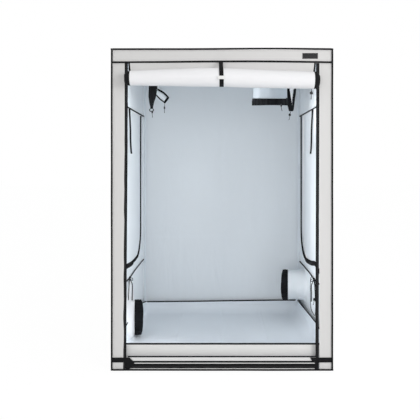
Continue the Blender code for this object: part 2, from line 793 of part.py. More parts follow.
def build_cable_ports(colours):
    """Two small roof sleeves drawn shut by their cords, and an open one with a leaning mouth."""
    flat = (Vector((1, 0, 0)), Vector((0, 1, 0)))
    shares = (0.0, 0.15, 0.35, 0.6, 0.8, sock_neck_drop / sock_length, 1.0)
    for name, x, y in (("left", left_sock_x, 0), ("right", right_sock_x, right_sock_y)):
        bm = bmesh.new()
        outer = []
        inner = []
        for share in shares:
            centre = Vector((x, y, roof_top - share * sock_length))
            radius = sock_radius_at(share)
            fold = sock_pleat_depth * math.sin(math.pi * min(share * 2, 1) / 2)
            outer.append(ring_points(centre, *flat, radius, pleat=max(fold, seam_gap)))
            inner.append(ring_points(centre, *flat, radius - sock_wall, pleat=max(fold, seam_gap)))
        add_loft(bm, outer, inner)
        add_object(f"cable_sock_{name}", bm, colours["black"], smooth=True)
    bm = bmesh.new()
    outer = []
    inner = []
    for share in (0.0, 0.5, 1.0):
        centre = Vector((collar_x, collar_y, roof_top - share * collar_length))
        lean = Vector((1, 0, -collar_lean / collar_radius * share))
        outer.append(ring_points(centre, lean, flat[1], collar_radius + sleeve_wall))
        inner.append(ring_points(centre, lean, flat[1], collar_radius))
    add_loft(bm, outer, inner)
    add_object("cable_collar", bm, colours["black"], smooth=True)


def slider_outline(centre_u, high, width, height):
    """A zip slider from the front: square shoulders and a narrower nose."""
    half = width / 2
    nose = half * 0.6
    return [(centre_u - nose, high), (centre_u - half, high - height * 0.3),
            (centre_u - half, high - height), (centre_u + half, high - height),
            (centre_u + half, high - height * 0.3), (centre_u + nose, high)]


def build_sliders(colours):
    back = tape_front - seam_gap
    for name, sign in (("left", -1), ("right", 1)):
        middle = sign * (tape_outer + tape_inner) / 2
        outline = slider_outline(middle, slider_rest_height, slider_width, slider_height)
        plate_piece(f"zip_slider_{name}", [outline], "y", back - slider_thickness, back,
                    colours["metal"], origin=(middle, back, slider_rest_height))
        half = pull_width / 2
        hinge_y = back - slider_thickness
        hinge_z = slider_rest_height - slider_height - half - seam_gap
        top = hinge_z + half
        tab = [(middle - half, top - pull_length), (middle + half, top - pull_length),
               (middle + half, hinge_z)]
        for step in range(1, corner_steps // 2):
            turn = math.pi * step / (corner_steps // 2)
            tab.append((middle + half * math.cos(turn), hinge_z + half * math.sin(turn)))
        tab.append((middle - half, hinge_z))
        eye = circle(middle, hinge_z, pull_eye, corner_steps)
        plate_piece(f"zip_pull_{name}", [tab, eye], "y", hinge_y - pull_thickness / 2,
                    hinge_y + pull_thickness / 2, colours["black"], origin=(middle, hinge_y, hinge_z))


def main():
    clear_scene()
    colours = make_palette()
    build_frame(colours)
    build_cover(colours)
    build_front(colours)
    build_piping(colours)
    build_front_door(colours)
    build_side_doors(colours)
    build_tray(colours)
    build_ports(colours)
    build_cable_ports(colours)
    build_sliders(colours)


main()
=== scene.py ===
import json
import math

import bmesh
import bpy
from mathutils import Matrix, Vector, noise
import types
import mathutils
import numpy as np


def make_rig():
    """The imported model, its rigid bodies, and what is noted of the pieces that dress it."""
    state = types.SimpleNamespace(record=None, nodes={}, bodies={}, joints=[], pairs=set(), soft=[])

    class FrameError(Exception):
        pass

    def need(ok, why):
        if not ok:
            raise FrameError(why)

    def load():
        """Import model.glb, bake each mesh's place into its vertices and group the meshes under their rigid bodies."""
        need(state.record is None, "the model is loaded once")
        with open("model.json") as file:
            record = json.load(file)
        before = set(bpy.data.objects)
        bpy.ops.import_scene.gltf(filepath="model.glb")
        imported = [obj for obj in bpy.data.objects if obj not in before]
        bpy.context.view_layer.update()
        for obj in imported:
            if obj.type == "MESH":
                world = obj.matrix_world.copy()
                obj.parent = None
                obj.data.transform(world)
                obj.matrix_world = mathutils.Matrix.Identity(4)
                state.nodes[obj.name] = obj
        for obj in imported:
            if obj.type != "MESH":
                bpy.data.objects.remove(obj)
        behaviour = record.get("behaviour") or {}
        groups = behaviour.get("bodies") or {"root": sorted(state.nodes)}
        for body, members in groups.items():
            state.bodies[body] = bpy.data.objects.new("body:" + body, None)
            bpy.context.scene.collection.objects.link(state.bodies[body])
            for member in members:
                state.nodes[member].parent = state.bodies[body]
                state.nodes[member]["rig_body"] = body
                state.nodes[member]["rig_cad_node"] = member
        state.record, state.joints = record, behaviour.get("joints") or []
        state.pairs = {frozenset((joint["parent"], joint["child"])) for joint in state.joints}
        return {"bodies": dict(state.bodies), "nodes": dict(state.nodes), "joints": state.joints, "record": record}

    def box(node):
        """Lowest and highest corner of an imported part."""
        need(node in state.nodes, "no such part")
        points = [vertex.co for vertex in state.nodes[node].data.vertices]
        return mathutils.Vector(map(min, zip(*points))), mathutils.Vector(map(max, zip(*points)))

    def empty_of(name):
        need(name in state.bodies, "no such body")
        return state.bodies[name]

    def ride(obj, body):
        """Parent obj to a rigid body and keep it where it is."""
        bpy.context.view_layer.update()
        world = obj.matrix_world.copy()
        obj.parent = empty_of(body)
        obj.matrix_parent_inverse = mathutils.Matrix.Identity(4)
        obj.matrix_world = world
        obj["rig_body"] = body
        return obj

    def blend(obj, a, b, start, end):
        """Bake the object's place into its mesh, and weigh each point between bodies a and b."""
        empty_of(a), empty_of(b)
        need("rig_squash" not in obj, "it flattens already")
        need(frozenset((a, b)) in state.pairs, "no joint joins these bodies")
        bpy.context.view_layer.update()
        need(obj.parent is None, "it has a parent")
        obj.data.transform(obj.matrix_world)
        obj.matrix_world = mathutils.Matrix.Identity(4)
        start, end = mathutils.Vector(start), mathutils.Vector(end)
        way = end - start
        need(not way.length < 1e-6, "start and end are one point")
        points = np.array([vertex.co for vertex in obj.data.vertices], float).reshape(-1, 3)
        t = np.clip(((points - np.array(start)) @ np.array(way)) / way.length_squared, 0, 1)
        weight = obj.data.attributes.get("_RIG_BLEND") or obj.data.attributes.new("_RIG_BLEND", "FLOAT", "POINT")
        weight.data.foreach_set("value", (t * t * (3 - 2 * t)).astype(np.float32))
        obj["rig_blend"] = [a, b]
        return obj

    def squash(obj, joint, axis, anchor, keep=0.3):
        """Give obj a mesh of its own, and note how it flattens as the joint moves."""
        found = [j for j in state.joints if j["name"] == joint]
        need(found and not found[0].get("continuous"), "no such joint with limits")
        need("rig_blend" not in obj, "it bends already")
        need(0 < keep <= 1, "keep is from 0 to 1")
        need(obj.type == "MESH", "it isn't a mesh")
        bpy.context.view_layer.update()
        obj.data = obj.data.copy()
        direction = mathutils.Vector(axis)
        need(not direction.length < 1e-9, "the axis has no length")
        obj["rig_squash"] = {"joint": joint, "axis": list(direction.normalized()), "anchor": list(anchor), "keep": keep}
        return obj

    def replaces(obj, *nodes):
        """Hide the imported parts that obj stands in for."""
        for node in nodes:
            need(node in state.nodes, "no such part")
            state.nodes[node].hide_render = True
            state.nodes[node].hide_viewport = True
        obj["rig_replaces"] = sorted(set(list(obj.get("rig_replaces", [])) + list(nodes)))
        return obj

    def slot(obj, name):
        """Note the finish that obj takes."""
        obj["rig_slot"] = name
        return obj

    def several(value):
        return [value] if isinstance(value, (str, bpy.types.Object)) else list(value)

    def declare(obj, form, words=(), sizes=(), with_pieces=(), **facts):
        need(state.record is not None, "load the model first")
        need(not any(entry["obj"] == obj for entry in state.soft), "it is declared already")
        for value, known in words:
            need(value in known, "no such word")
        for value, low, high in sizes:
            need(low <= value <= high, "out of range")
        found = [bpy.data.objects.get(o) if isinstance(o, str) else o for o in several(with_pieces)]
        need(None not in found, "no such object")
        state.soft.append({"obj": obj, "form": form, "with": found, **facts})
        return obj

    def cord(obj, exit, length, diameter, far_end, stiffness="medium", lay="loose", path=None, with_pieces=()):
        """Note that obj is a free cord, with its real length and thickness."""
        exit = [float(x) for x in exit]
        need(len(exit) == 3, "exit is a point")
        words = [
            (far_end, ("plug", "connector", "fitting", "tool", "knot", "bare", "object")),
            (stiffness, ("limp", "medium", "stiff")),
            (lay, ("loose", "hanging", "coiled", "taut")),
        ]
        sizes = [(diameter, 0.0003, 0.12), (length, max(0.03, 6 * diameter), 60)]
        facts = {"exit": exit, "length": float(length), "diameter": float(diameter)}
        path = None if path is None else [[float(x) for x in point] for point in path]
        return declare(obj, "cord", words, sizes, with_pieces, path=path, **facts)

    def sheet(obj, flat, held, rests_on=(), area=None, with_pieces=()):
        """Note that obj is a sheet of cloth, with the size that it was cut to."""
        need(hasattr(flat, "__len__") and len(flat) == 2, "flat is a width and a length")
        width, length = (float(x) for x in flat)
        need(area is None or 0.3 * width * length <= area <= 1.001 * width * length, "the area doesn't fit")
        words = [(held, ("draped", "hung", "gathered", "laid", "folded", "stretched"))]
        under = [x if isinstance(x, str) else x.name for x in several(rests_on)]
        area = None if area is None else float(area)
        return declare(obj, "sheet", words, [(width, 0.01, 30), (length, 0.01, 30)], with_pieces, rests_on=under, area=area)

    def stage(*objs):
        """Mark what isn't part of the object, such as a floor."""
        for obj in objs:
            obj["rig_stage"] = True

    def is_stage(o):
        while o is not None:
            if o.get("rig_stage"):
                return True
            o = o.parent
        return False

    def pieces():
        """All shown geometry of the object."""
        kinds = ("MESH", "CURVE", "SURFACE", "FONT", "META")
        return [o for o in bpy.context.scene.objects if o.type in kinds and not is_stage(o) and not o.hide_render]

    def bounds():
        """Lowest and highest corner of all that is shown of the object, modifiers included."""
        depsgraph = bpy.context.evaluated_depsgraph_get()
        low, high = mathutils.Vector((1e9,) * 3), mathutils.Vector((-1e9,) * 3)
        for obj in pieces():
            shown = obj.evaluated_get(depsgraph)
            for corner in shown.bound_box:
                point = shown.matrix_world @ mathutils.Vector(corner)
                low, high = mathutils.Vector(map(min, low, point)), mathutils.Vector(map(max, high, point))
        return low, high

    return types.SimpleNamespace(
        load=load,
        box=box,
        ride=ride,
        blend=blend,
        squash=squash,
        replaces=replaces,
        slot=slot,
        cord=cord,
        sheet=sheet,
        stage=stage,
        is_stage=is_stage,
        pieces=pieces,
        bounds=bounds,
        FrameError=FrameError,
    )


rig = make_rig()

bl_info = {
    "name": "Grow tent",
    "version": (1, 0, 0),
    "blender": (4, 5, 0),
    "location": "3D View > Sidebar > Grow tent",
    "description": "Dresses the fixed frame of an indoor grow tent with its cloth, zips and cords",
    "category": "Object",
}

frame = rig.load()
RIGHT = Vector((1, 0, 0))
BACK = Vector((0, 1, 0))
UP = Vector((0, 0, 1))
SIDES = (("left", -1), ("right", 1))
# Metres: half the tent, the gap at seams, a duct port's radius, a side door's round corner,
# and how far out the cords in the side walls run
HALF_WIDTH = 0.75
SEAM_GAP = 0.0003
PORT_RADIUS = 0.1462
FLAP_CORNER = 0.235
CORD_X = 0.7425
# How far apart the cover's fold lines are, and how broad, in metres
FOLD_ACROSS = 0.374
FOLD_UP = 0.366
FOLD_WIDTH = 0.006
# How thick the cloths are made, in metres
CLOTH = 0.0011
SLEEVE_CLOTH = 0.0014
CUFF_CLOTH = 0.0024
TRAY_SHEET = 0.0012
made = {}


# Picking and finishing pieces

def deselect():
    """Leave edit mode and let go of everything."""
    if bpy.context.object and bpy.context.object.mode != "OBJECT":
        bpy.ops.object.mode_set(mode="OBJECT")
    bpy.ops.object.select_all(action="DESELECT")


def pick(piece):
    deselect()
    piece.select_set(True)
    bpy.context.view_layer.objects.active = piece


def settle(piece):
    """Put a piece's place into its mesh, so that its object sits at the origin."""
    pick(piece)
    bpy.ops.object.transform_apply(location=True, rotation=True, scale=True)
    return piece


def modify(piece, kind, **settings):
    """Add one modifier with these settings and apply it."""
    pick(piece)
    modifier = piece.modifiers.new(kind.title(), kind)
    for name, value in settings.items():
        setattr(modifier, name, value)
    bpy.ops.object.modifier_apply(modifier=modifier.name)
    return piece


def join(name, pieces):
    """Make several pieces one mesh that keeps their materials."""
    deselect()
    for piece in pieces:
        piece.select_set(True)
    bpy.context.view_layer.objects.active = pieces[0]
    if len(pieces) > 1:
        bpy.ops.object.join()
    pieces[0].name = name
    return pieces[0]


def paint(piece, *finishes):
    piece.data.materials.clear()
    for finish in finishes:
        piece.data.materials.append(made[finish])
    return piece


def soften(piece, angle=40):
    pick(piece)
    bpy.ops.object.shade_smooth_by_angle(angle=math.radians(angle))
    return piece


def mount(piece, name, body="tent", slot=None, nodes=()):
    """Name a finished piece, set it on its body and say which nodes it stands for."""
    piece.name = name
    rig.ride(piece, body)
    if nodes:
        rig.replaces(piece, *nodes)
    if slot:
        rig.slot(piece, slot)
    return piece


def trim(piece, name, finish="webbing", angle=60, **words):
    """Finish and mount a piece of the black trim: a cord, a binding or a band."""
    paint(piece, finish)
    return mount(soften(piece, angle), name, slot="black_trim", **words)


# Shapes

def create(operator, **settings):
    """Add one object with Blender's own operator, alone and in object mode."""
    deselect()
    operator(**settings)
    return bpy.context.object


def box_piece(low, high, bevel=0.0):
    """A block between two corners with rounded edges."""
    low, high = Vector(low), Vector(high)
    piece = create(bpy.ops.mesh.primitive_cube_add, size=1, location=(low + high) / 2)
    piece.scale = high - low
    settle(piece)
    if bevel:
        modify(piece, "BEVEL", width=bevel, segments=2, limit_method="NONE")
    return piece


def frame_of(one, two, three, origin):
    """The matrix that puts a unit shape's three axes and its origin there."""
    place = Matrix((one, two, three)).transposed().to_4x4()
    place.translation = origin
    return place


def grid_sheet(corner, along, across, cells_along, cells_across):
    """A flat sheet that starts at one corner; its front faces along x across."""
    corner, along, across = Vector(corner), Vector(along), Vector(across)
    piece = create(bpy.ops.mesh.primitive_grid_add, x_subdivisions=cells_along,
                   y_subdivisions=cells_across, size=1)
    piece.matrix_world = frame_of(along, across, along.cross(across).normalized(),
                                  corner + along / 2 + across / 2)
    return settle(piece)


def wrap_grid(around, along, place, closed=True):
    """A sheet of cells shaped by place(turn share, length share), sewn where it meets itself."""
    piece = create(bpy.ops.mesh.primitive_grid_add, x_subdivisions=around, y_subdivisions=along, size=1)
    for vertex in piece.data.vertices:
        vertex.co = place(vertex.co.x + 0.5, vertex.co.y + 0.5)
    if closed:
        pick(piece)
        bpy.ops.object.mode_set(mode="EDIT")
        bpy.ops.mesh.select_all(action="SELECT")
        bpy.ops.mesh.remove_doubles(threshold=0.00002)
        bpy.ops.mesh.normals_make_consistent(inside=False)
        bpy.ops.object.mode_set(mode="OBJECT")
    return piece


def thicken(piece, wall, outward=0.0):
    return modify(piece, "SOLIDIFY", thickness=wall, offset=outward, use_even_offset=False)


def line_sides(piece, facing):
    """Give the second material to the faces that look along facing."""
    for polygon in piece.data.polygons:
        polygon.material_index = int(polygon.normal.dot(facing) > 0.3)


def tube(points, radius, closed=False, sides=4):
    """A round cord through points, made a mesh."""
    deselect()
    curve = bpy.data.curves.new("cord", "CURVE")
    curve.dimensions = "3D"
    curve.bevel_depth = radius
    curve.bevel_resolution = sides // 2
    curve.use_fill_caps = not closed
    spline = curve.splines.new("POLY")
    spline.points.add(len(points) - 1)
    for point, where in zip(spline.points, points):
        point.co = (*where, 1)
    spline.use_cyclic_u = closed
    spline.use_smooth = True
    piece = bpy.data.objects.new("cord", curve)
    bpy.context.collection.objects.link(piece)
    pick(piece)
    bpy.ops.object.convert(target="MESH")
    return bpy.context.object


def smooth_path(points, steps=8):
    """Points on a smooth curve through the given ones."""
    points = [Vector(point) for point in points]
    path = []
    for index in range(len(points) - 1):
        before = points[max(index - 1, 0)]
        start, end = points[index], points[index + 1]
        after = points[min(index + 2, len(points) - 1)]
        for step in range(steps):
            t = step / steps
            path.append(0.5 * (2 * start + (end - before) * t
                               + (2 * before - 5 * start + 4 * end - after) * t ** 2
                               + (3 * start - before - 3 * end + after) * t ** 3))
    return path + [points[-1]]


def path_length(points):
    return sum((after - here).length for here, after in zip(points, points[1:]))


def follow(path):
    """A path's length, and a function for the spot and the direction at a distance along it."""
    lengths = [0.0]
    for here, after in zip(path, path[1:]):
        lengths.append(lengths[-1] + (after - here).length)

    def along(distance):
        index = 1
        while index < len(path) - 1 and lengths[index] < distance:
            index += 1
        share = (distance - lengths[index - 1]) / max(lengths[index] - lengths[index - 1], 1e-6)
        ahead = (path[index] - path[index - 1]).normalized()
        return path[index - 1].lerp(path[index], share), ahead

    return lengths[-1], along


def cut_hole(piece, centre, axis, radius):
    """Cut a round hole right through a panel and return its area."""
    cutter = create(bpy.ops.mesh.primitive_cylinder_add, vertices=72, radius=radius, depth=0.1,
                    location=centre)
    cutter.matrix_world = Matrix.Translation(centre) @ axis.to_track_quat("Z", "Y").to_matrix().to_4x4()
    settle(cutter)
    cut_away(piece, cutter)
    return math.pi * radius ** 2


def cut_away(piece, cutter):
    modify(piece, "BOOLEAN", object=cutter, operation="DIFFERENCE", solver="EXACT")
    bpy.data.objects.remove(cutter)


def select_faces(piece, wanted):
    """Enter edit mode with just the faces selected for which wanted(face) is true."""
    pick(piece)
    bpy.ops.object.mode_set(mode="EDIT")
    bpy.ops.mesh.select_mode(type="FACE")
    bpy.ops.mesh.select_all(action="DESELECT")
    bm = bmesh.from_edit_mesh(piece.data)
    for face in bm.faces:
        face.select = wanted(face)
    bmesh.update_edit_mesh(piece.data)


def door_blank(side, half, low, high, radius, depth):
    """A flat block with round bottom corners, as the side doors are cut."""
    x = side * (HALF_WIDTH - 0.0006)
    piece = create(bpy.ops.mesh.primitive_plane_add, size=1)
    piece.matrix_world = frame_of(BACK * half * 2, UP * (high - low), RIGHT,
                                  Vector((x - depth / 2, 0, (low + high) / 2)))
    settle(piece)
    bpy.ops.object.mode_set(mode="EDIT")
    bpy.ops.mesh.select_mode(type="VERT")
    bpy.ops.mesh.select_all(action="DESELECT")
    bm = bmesh.from_edit_mesh(piece.data)
    for vertex in bm.verts:
        vertex.select = vertex.co.z < (low + high) / 2
    bm.select_flush_mode()
    bmesh.update_edit_mesh(piece.data)
    bpy.ops.mesh.bevel(offset=radius, segments=14, affect="VERTICES")
    bpy.ops.mesh.select_all(action="SELECT")
    bpy.ops.mesh.extrude_region_move(TRANSFORM_OT_translate={"value": (depth, 0, 0)})
    bpy.ops.mesh.select_all(action="SELECT")
    bpy.ops.mesh.normals_make_consistent(inside=False)
    bpy.ops.object.mode_set(mode="OBJECT")
    return piece


# Cloth

def ripple(x, y, z):
    """Smooth noise at a place, from about -1 to 1."""
    return noise.noise(Vector((x, y, z)))


def bump_at(value, middle, width):
    """A smooth bump of height one round a middle."""
    return math.exp(-((value - middle) / width) ** 2)


def arch(point):
    """How far a side door's lower edge is drawn up: once on the left, and up and down on the right."""
    near_edge = bump_at(point.z, 0.58, 0.12)
    if point.x < 0:
        return near_edge * 0.024 * bump_at(point.y, -0.22, 0.18)
    return near_edge * (0.027 * bump_at(point.y, -0.1, 0.13) - 0.011 * bump_at(point.y, 0.28, 0.13))


def draw_up(piece):
    for vertex in piece.data.vertices:
        vertex.co.z += arch(vertex.co)
    return piece


def ease(share):
    share = min(max(share, 0), 1)
    return share * share * (3 - 2 * share)


def slack(point, low, high, seed, depth):
    """How far cloth held along its edges stands off its frame at a point."""
    hold = 1
    for axis in range(3):
        span = high[axis] - low[axis]
        if span > 0.01:
            edge = min(point[axis] - low[axis], high[axis] - point[axis])
            hold *= ease(edge / min(0.18, span * 0.5))
    broad = ripple(point.x * 1.5, point.y * 1.5, point.z * 0.8 + seed)
    pulls = ripple(point.x * 5 + seed, point.y * 5, point.z * 1.1)
    fine = ripple(point.x * 13, point.y * 13 + seed, point.z * 7)
    return hold * depth * (0.6 * broad + 0.3 * pulls + 0.1 * fine)


def crease(value, pitch, width):
    """A sharp ridge at every pitch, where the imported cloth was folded."""
    return bump_at(abs((value / pitch + 0.5) % 1 - 0.5) * pitch, 0, width)


def wall_sheet(node, outward, seed, depth, cell=0.022, fold=0.0016):
    """A panel of the cover, with the slack and the fold lines of real cloth, and its flat size."""
    low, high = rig.box(node)
    outward = Vector(outward)
    thin = [index for index in range(3) if abs(outward[index]) > 0.5][0]
    wide, tall = [index for index in range(3) if index != thin]
    corner = Vector(low)
    corner[thin] = (low[thin] + high[thin]) / 2
    along, across = Vector((0, 0, 0)), Vector((0, 0, 0))
    along[wide] = high[wide] - low[wide]
    across[tall] = high[tall] - low[tall]
    if along.cross(across).dot(outward) < 0:
        along, across = across, along
    piece = grid_sheet(corner, along, across,
                       max(2, int(along.length / cell)), max(2, int(across.length / cell)))
    for vertex in piece.data.vertices:
        point = vertex.co.copy()
        rise = slack(point, low, high, seed, depth)
        if fold:
            ridge = crease(point[wide] - low[wide], FOLD_ACROSS, FOLD_WIDTH)
            ridge += crease(point[tall] - low[tall], FOLD_UP, FOLD_WIDTH)
            edge = min(point[wide] - low[wide], high[wide] - point[wide],
                       point[tall] - low[tall], high[tall] - point[tall])
            rise += fold * ridge * ease(edge / 0.05)
        vertex.co = point + outward * rise
    thicken(piece, high[thin] - low[thin])
    paint(piece, "canvas", "lining")
    line_sides(piece, -outward)
    return piece, (high[wide] - low[wide], high[tall] - low[tall])


def mount_panel(piece, name, node_name, flat, rests_on, area=None, body="tent", held="stretched"):
    """Mount a panel of the cover and say how large its cloth is, less what is cut out of it."""
    mount(soften(piece), name, body=body, slot="outer_canvas", nodes=[node_name])
    if area is None:
        area = flat[0] * flat[1]
    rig.sheet(piece, flat=flat, held=held, rests_on=rests_on, area=area)


# Materials

def new_group(name, inputs, outputs):
    """A shader node group; an input is a number with its default, or a colour where it has none."""
    group = bpy.data.node_groups.new(name, "ShaderNodeTree")
    for label, value in inputs.items():
        kind = "NodeSocketColor" if value is None else "NodeSocketFloat"
        entry = group.interface.new_socket(label, in_out="INPUT", socket_type=kind)
        if value is not None:
            entry.default_value = value
    for label, kind in outputs.items():
        group.interface.new_socket(label, in_out="OUTPUT", socket_type=kind)
    return group, group.nodes.new("NodeGroupInput").outputs, group.nodes.new("NodeGroupOutput")


def feed(tree, target, inputs):
    """Give a node's inputs their values, or links from other nodes' outputs."""
    for name, value in inputs.items():
        if isinstance(value, bpy.types.NodeSocket):
            tree.links.new(value, target.inputs[name])
        else:
            target.inputs[name].default_value = value


def node(tree, kind, inputs=None, **settings):
    found = tree.nodes.new(f"ShaderNode{kind}")
    for name, value in settings.items():
        setattr(found, name, value)
    feed(tree, found, inputs or {})
    return found


def sum_of(tree, operation, first, second=None):
    """A math node on two links or numbers."""
    inputs = {0: first} if second is None else {0: first, 1: second}
    return node(tree, "Math", inputs, operation=operation).outputs[0]


def build_weave_group():
    """Crossed threads along the three axes, with some uneven ones."""
    group, enter, leave = new_group("tent_weave", {"Pitch": 0.0016, "Slub": 0.3},
                                    {"Height": "NodeSocketFloat"})
    place = node(group, "TexCoord").outputs["Object"]
    turns = sum_of(group, "DIVIDE", 2 * math.pi, enter["Pitch"])
    waves = [sum_of(group, "SINE", sum_of(group, "MULTIPLY", axis, turns))
             for axis in node(group, "SeparateXYZ", {0: place}).outputs]
    threads = sum_of(group, "ADD", sum_of(group, "ADD", waves[0], waves[1]), waves[2])
    grain = node(group, "TexNoise", {"Scale": 160, "Detail": 2, "Vector": place})
    uneven = sum_of(group, "MULTIPLY", grain.outputs["Fac"], enter["Slub"])
    total = sum_of(group, "ADD", sum_of(group, "MULTIPLY", threads, 0.2), uneven)
    feed(group, leave, {"Height": total})


def build_tone_group():
    """A colour with slow patches, and a roughness that goes with them."""
    group, enter, leave = new_group(
        "tent_tone", {"Colour": None, "Patches": 0.04, "Scale": 3, "Roughness": 0.6},
        {"Colour": "NodeSocketColor", "Roughness": "NodeSocketFloat"})
    place = node(group, "TexCoord").outputs["Object"]
    patches = node(group, "TexNoise", {"Detail": 5, "Scale": enter["Scale"], "Vector": place})
    swing = sum_of(group, "SUBTRACT", patches.outputs["Fac"], 0.5)
    factor = sum_of(group, "ADD", sum_of(group, "MULTIPLY", swing, enter["Patches"]), 1.0)
    scaled = node(group, "VectorMath", {0: enter["Colour"], "Scale": factor}, operation="SCALE")
    rough = sum_of(group, "ADD", enter["Roughness"], sum_of(group, "MULTIPLY", swing, 0.15))
    feed(group, leave, {"Colour": scaled.outputs[0], "Roughness": rough})


def finish_material(name, colour, roughness, relief, patches=0.05, patch_scale=3.0, pitch=0.0016, slub=0.3,
                    crumple=0.0, crumple_scale=9.0, metallic=0.0, sheen=0.0, coat=0.0,
                    stretch=(1, 1, 1), shine=0.5):
    """A finish with woven or grained relief, and a second, broader relief for crumpled cloth."""
    material = bpy.data.materials.new(name)
    material.use_nodes = True
    tree = material.node_tree
    groups = bpy.data.node_groups
    tone = node(tree, "Group", {"Colour": (*colour, 1), "Patches": patches, "Scale": patch_scale,
                                "Roughness": roughness}, node_tree=groups["tent_tone"])
    weave = node(tree, "Group", {"Pitch": pitch, "Slub": slub}, node_tree=groups["tent_weave"])
    bump = node(tree, "Bump", {"Distance": relief, "Height": weave.outputs["Height"]})
    if crumple:
        place = node(tree, "TexCoord").outputs["Object"]
        mapping = node(tree, "Mapping", {"Scale": stretch, "Vector": place})
        wrinkles = node(tree, "TexNoise", {"Scale": crumple_scale, "Detail": 3, "Distortion": 0.6,
                                           "Vector": mapping.outputs[0]})
        broad = node(tree, "Bump", {"Distance": crumple, "Height": wrinkles.outputs["Fac"]})
        feed(tree, bump, {"Normal": broad.outputs["Normal"]})
    feed(tree, tree.nodes["Principled BSDF"],
         {"Base Color": tone.outputs["Colour"], "Roughness": tone.outputs["Roughness"],
          "Normal": bump.outputs["Normal"], "Metallic": metallic, "Specular IOR Level": shine,
          "Sheen Weight": sheen, "Coat Weight": coat})
    made[name] = material


def linear(*screen):
    """A screen colour, 0 to 255, as the renderer's light values."""
    shares = [value / 255 for value in screen]
    return tuple(share / 12.92 if share <= 0.04045 else ((share + 0.055) / 1.055) ** 2.4 for share in shares)


def colour_setting(name, description, *screen):
    return bpy.props.FloatVectorProperty(name=name, description=description, subtype="COLOR",
                                         default=linear(*screen), min=0, max=1)


def length_setting(name, description, default, low, high):
    return bpy.props.FloatProperty(name=name, description=description, unit="LENGTH",
                                   default=default, min=low, max=high)


class ClothSettings(bpy.types.PropertyGroup):
    canvas: colour_setting("Canvas", "Outer canvas of the cover", 221, 220, 219)
    lining: colour_setting("Lining", "Pale inner lining", 235, 240, 244)
    white: colour_setting("White cloth", "Rolled door and duct sleeves", 244, 244, 246)
    black: colour_setting("Trim", "Zips, webbing, piping and cuffs", 19, 19, 21)
    slack: length_setting("Slack", "How far the loose cloth stands off", 0.006, 0, 0.02)


class TrimSettings(bpy.types.PropertyGroup):
    tooth_pitch: length_setting("Zip pitch", "Spacing of the zip's teeth", 0.0056, 0.003, 0.02)
    cord_diameter: length_setting("Cord", "Thickness of the draw cords", 0.0036, 0.002, 0.008)
    ribbon_width: length_setting("Ribbon", "Width of the tie ribbons", 0.0145, 0.01, 0.04)


class StageSettings(bpy.types.PropertyGroup):
    focal_length: bpy.props.FloatProperty(
        name="Lens", description="Focal length in millimetres", default=47.1, min=20, max=120)
    distance: length_setting("Distance", "Camera to the tent's front", 3.755, 1, 12)
    height: length_setting("Height", "Camera above the floor", 1.427, 0, 4)


class TENT_OT_materials(bpy.types.Operator):
    """Make the cloth, trim, steel and plastic finishes"""

    bl_idname = "tent.materials"
    bl_label = "Finishes"

    def execute(self, context):
        cloth = context.scene.tent_cloth
        build_weave_group()
        build_tone_group()
        finish_material("canvas", tuple(cloth.canvas), 0.72, patches=0.05, patch_scale=2.2,
                        relief=0.00016, crumple=0.004, crumple_scale=3.2, sheen=0.15)
        finish_material("lining", tuple(cloth.lining), 0.42, patches=0.05, patch_scale=1.3,
                        relief=0.00005, crumple=0.006, crumple_scale=3.0, stretch=(2.2, 2.2, 0.7))
        finish_material("sleeve_cloth", linear(194, 202, 209), 0.5, patches=0.04, patch_scale=4,
                        relief=0.00008, crumple=0.003, crumple_scale=7)
        finish_material("white_cloth", tuple(cloth.white), 0.5, patches=0.03, patch_scale=4,
                        relief=0.00008, crumple=0.003, crumple_scale=7)
        finish_material("tray_sheet", linear(232, 238, 244), 0.45, patches=0.07, patch_scale=2.5,
                        relief=0.00006, crumple=0.005, crumple_scale=4)
        finish_material("tray_wall", linear(232, 232, 231), 0.6, patches=0.05, patch_scale=4,
                        relief=0.00012, crumple=0.003, crumple_scale=6)
        finish_material("webbing", tuple(cloth.black), 0.85, patches=0.25, patch_scale=60,
                        pitch=0.0022, slub=0.5, relief=0.0004, shine=0.25)
        finish_material("black_cloth", linear(12, 13, 17), 0.75, patches=0.3, patch_scale=14,
                        relief=0.0002, crumple=0.003, crumple_scale=30, shine=0.2)
        finish_material("teeth", linear(24, 24, 26), 0.6, patches=0.2, patch_scale=80,
                        relief=0.00002)
        finish_material("steel", linear(229, 236, 243), 0.32, patches=0.03, patch_scale=20,
                        relief=0.00003, coat=0.3)
        finish_material("connector", linear(228, 234, 240), 0.4, patches=0.05, patch_scale=40,
                        relief=0.00004)
        finish_material("zip_metal", linear(48, 48, 50), 0.3, patches=0.2, patch_scale=120,
                        relief=0.00003, metallic=0.9)
        finish_material("plastic", linear(240, 240, 238), 0.35, patches=0.02, patch_scale=60,
                        relief=0.00003)
        finish_material("black_plastic", linear(30, 30, 32), 0.35, patches=0.1, patch_scale=90,
                        relief=0.00003)
        finish_material("label", linear(34, 34, 36), 0.7, patches=0.15, patch_scale=120,
                        pitch=0.0011, relief=0.0002)
        finish_material("thread", linear(200, 200, 200), 0.7, relief=0.0001)
        return {"FINISHED"}


class TENT_OT_frame(bpy.types.Operator):
    """Give the poles, bars and connectors their coated finish"""

    bl_idname = "tent.frame"
    bl_label = "Frame"

    def execute(self, context):
        for name, kept in frame["nodes"].items():
            finish = None
            if name.startswith(("post_", "bottom_bar", "top_bar", "hanging_bar")):
                finish = "steel"
            elif name.startswith("connector_"):
                finish = "connector"
            elif name.startswith("zip_slider") or name.startswith("zip_pull"):
                finish = "zip_metal"
            if finish:
                paint(kept, finish)
        return {"FINISHED"}


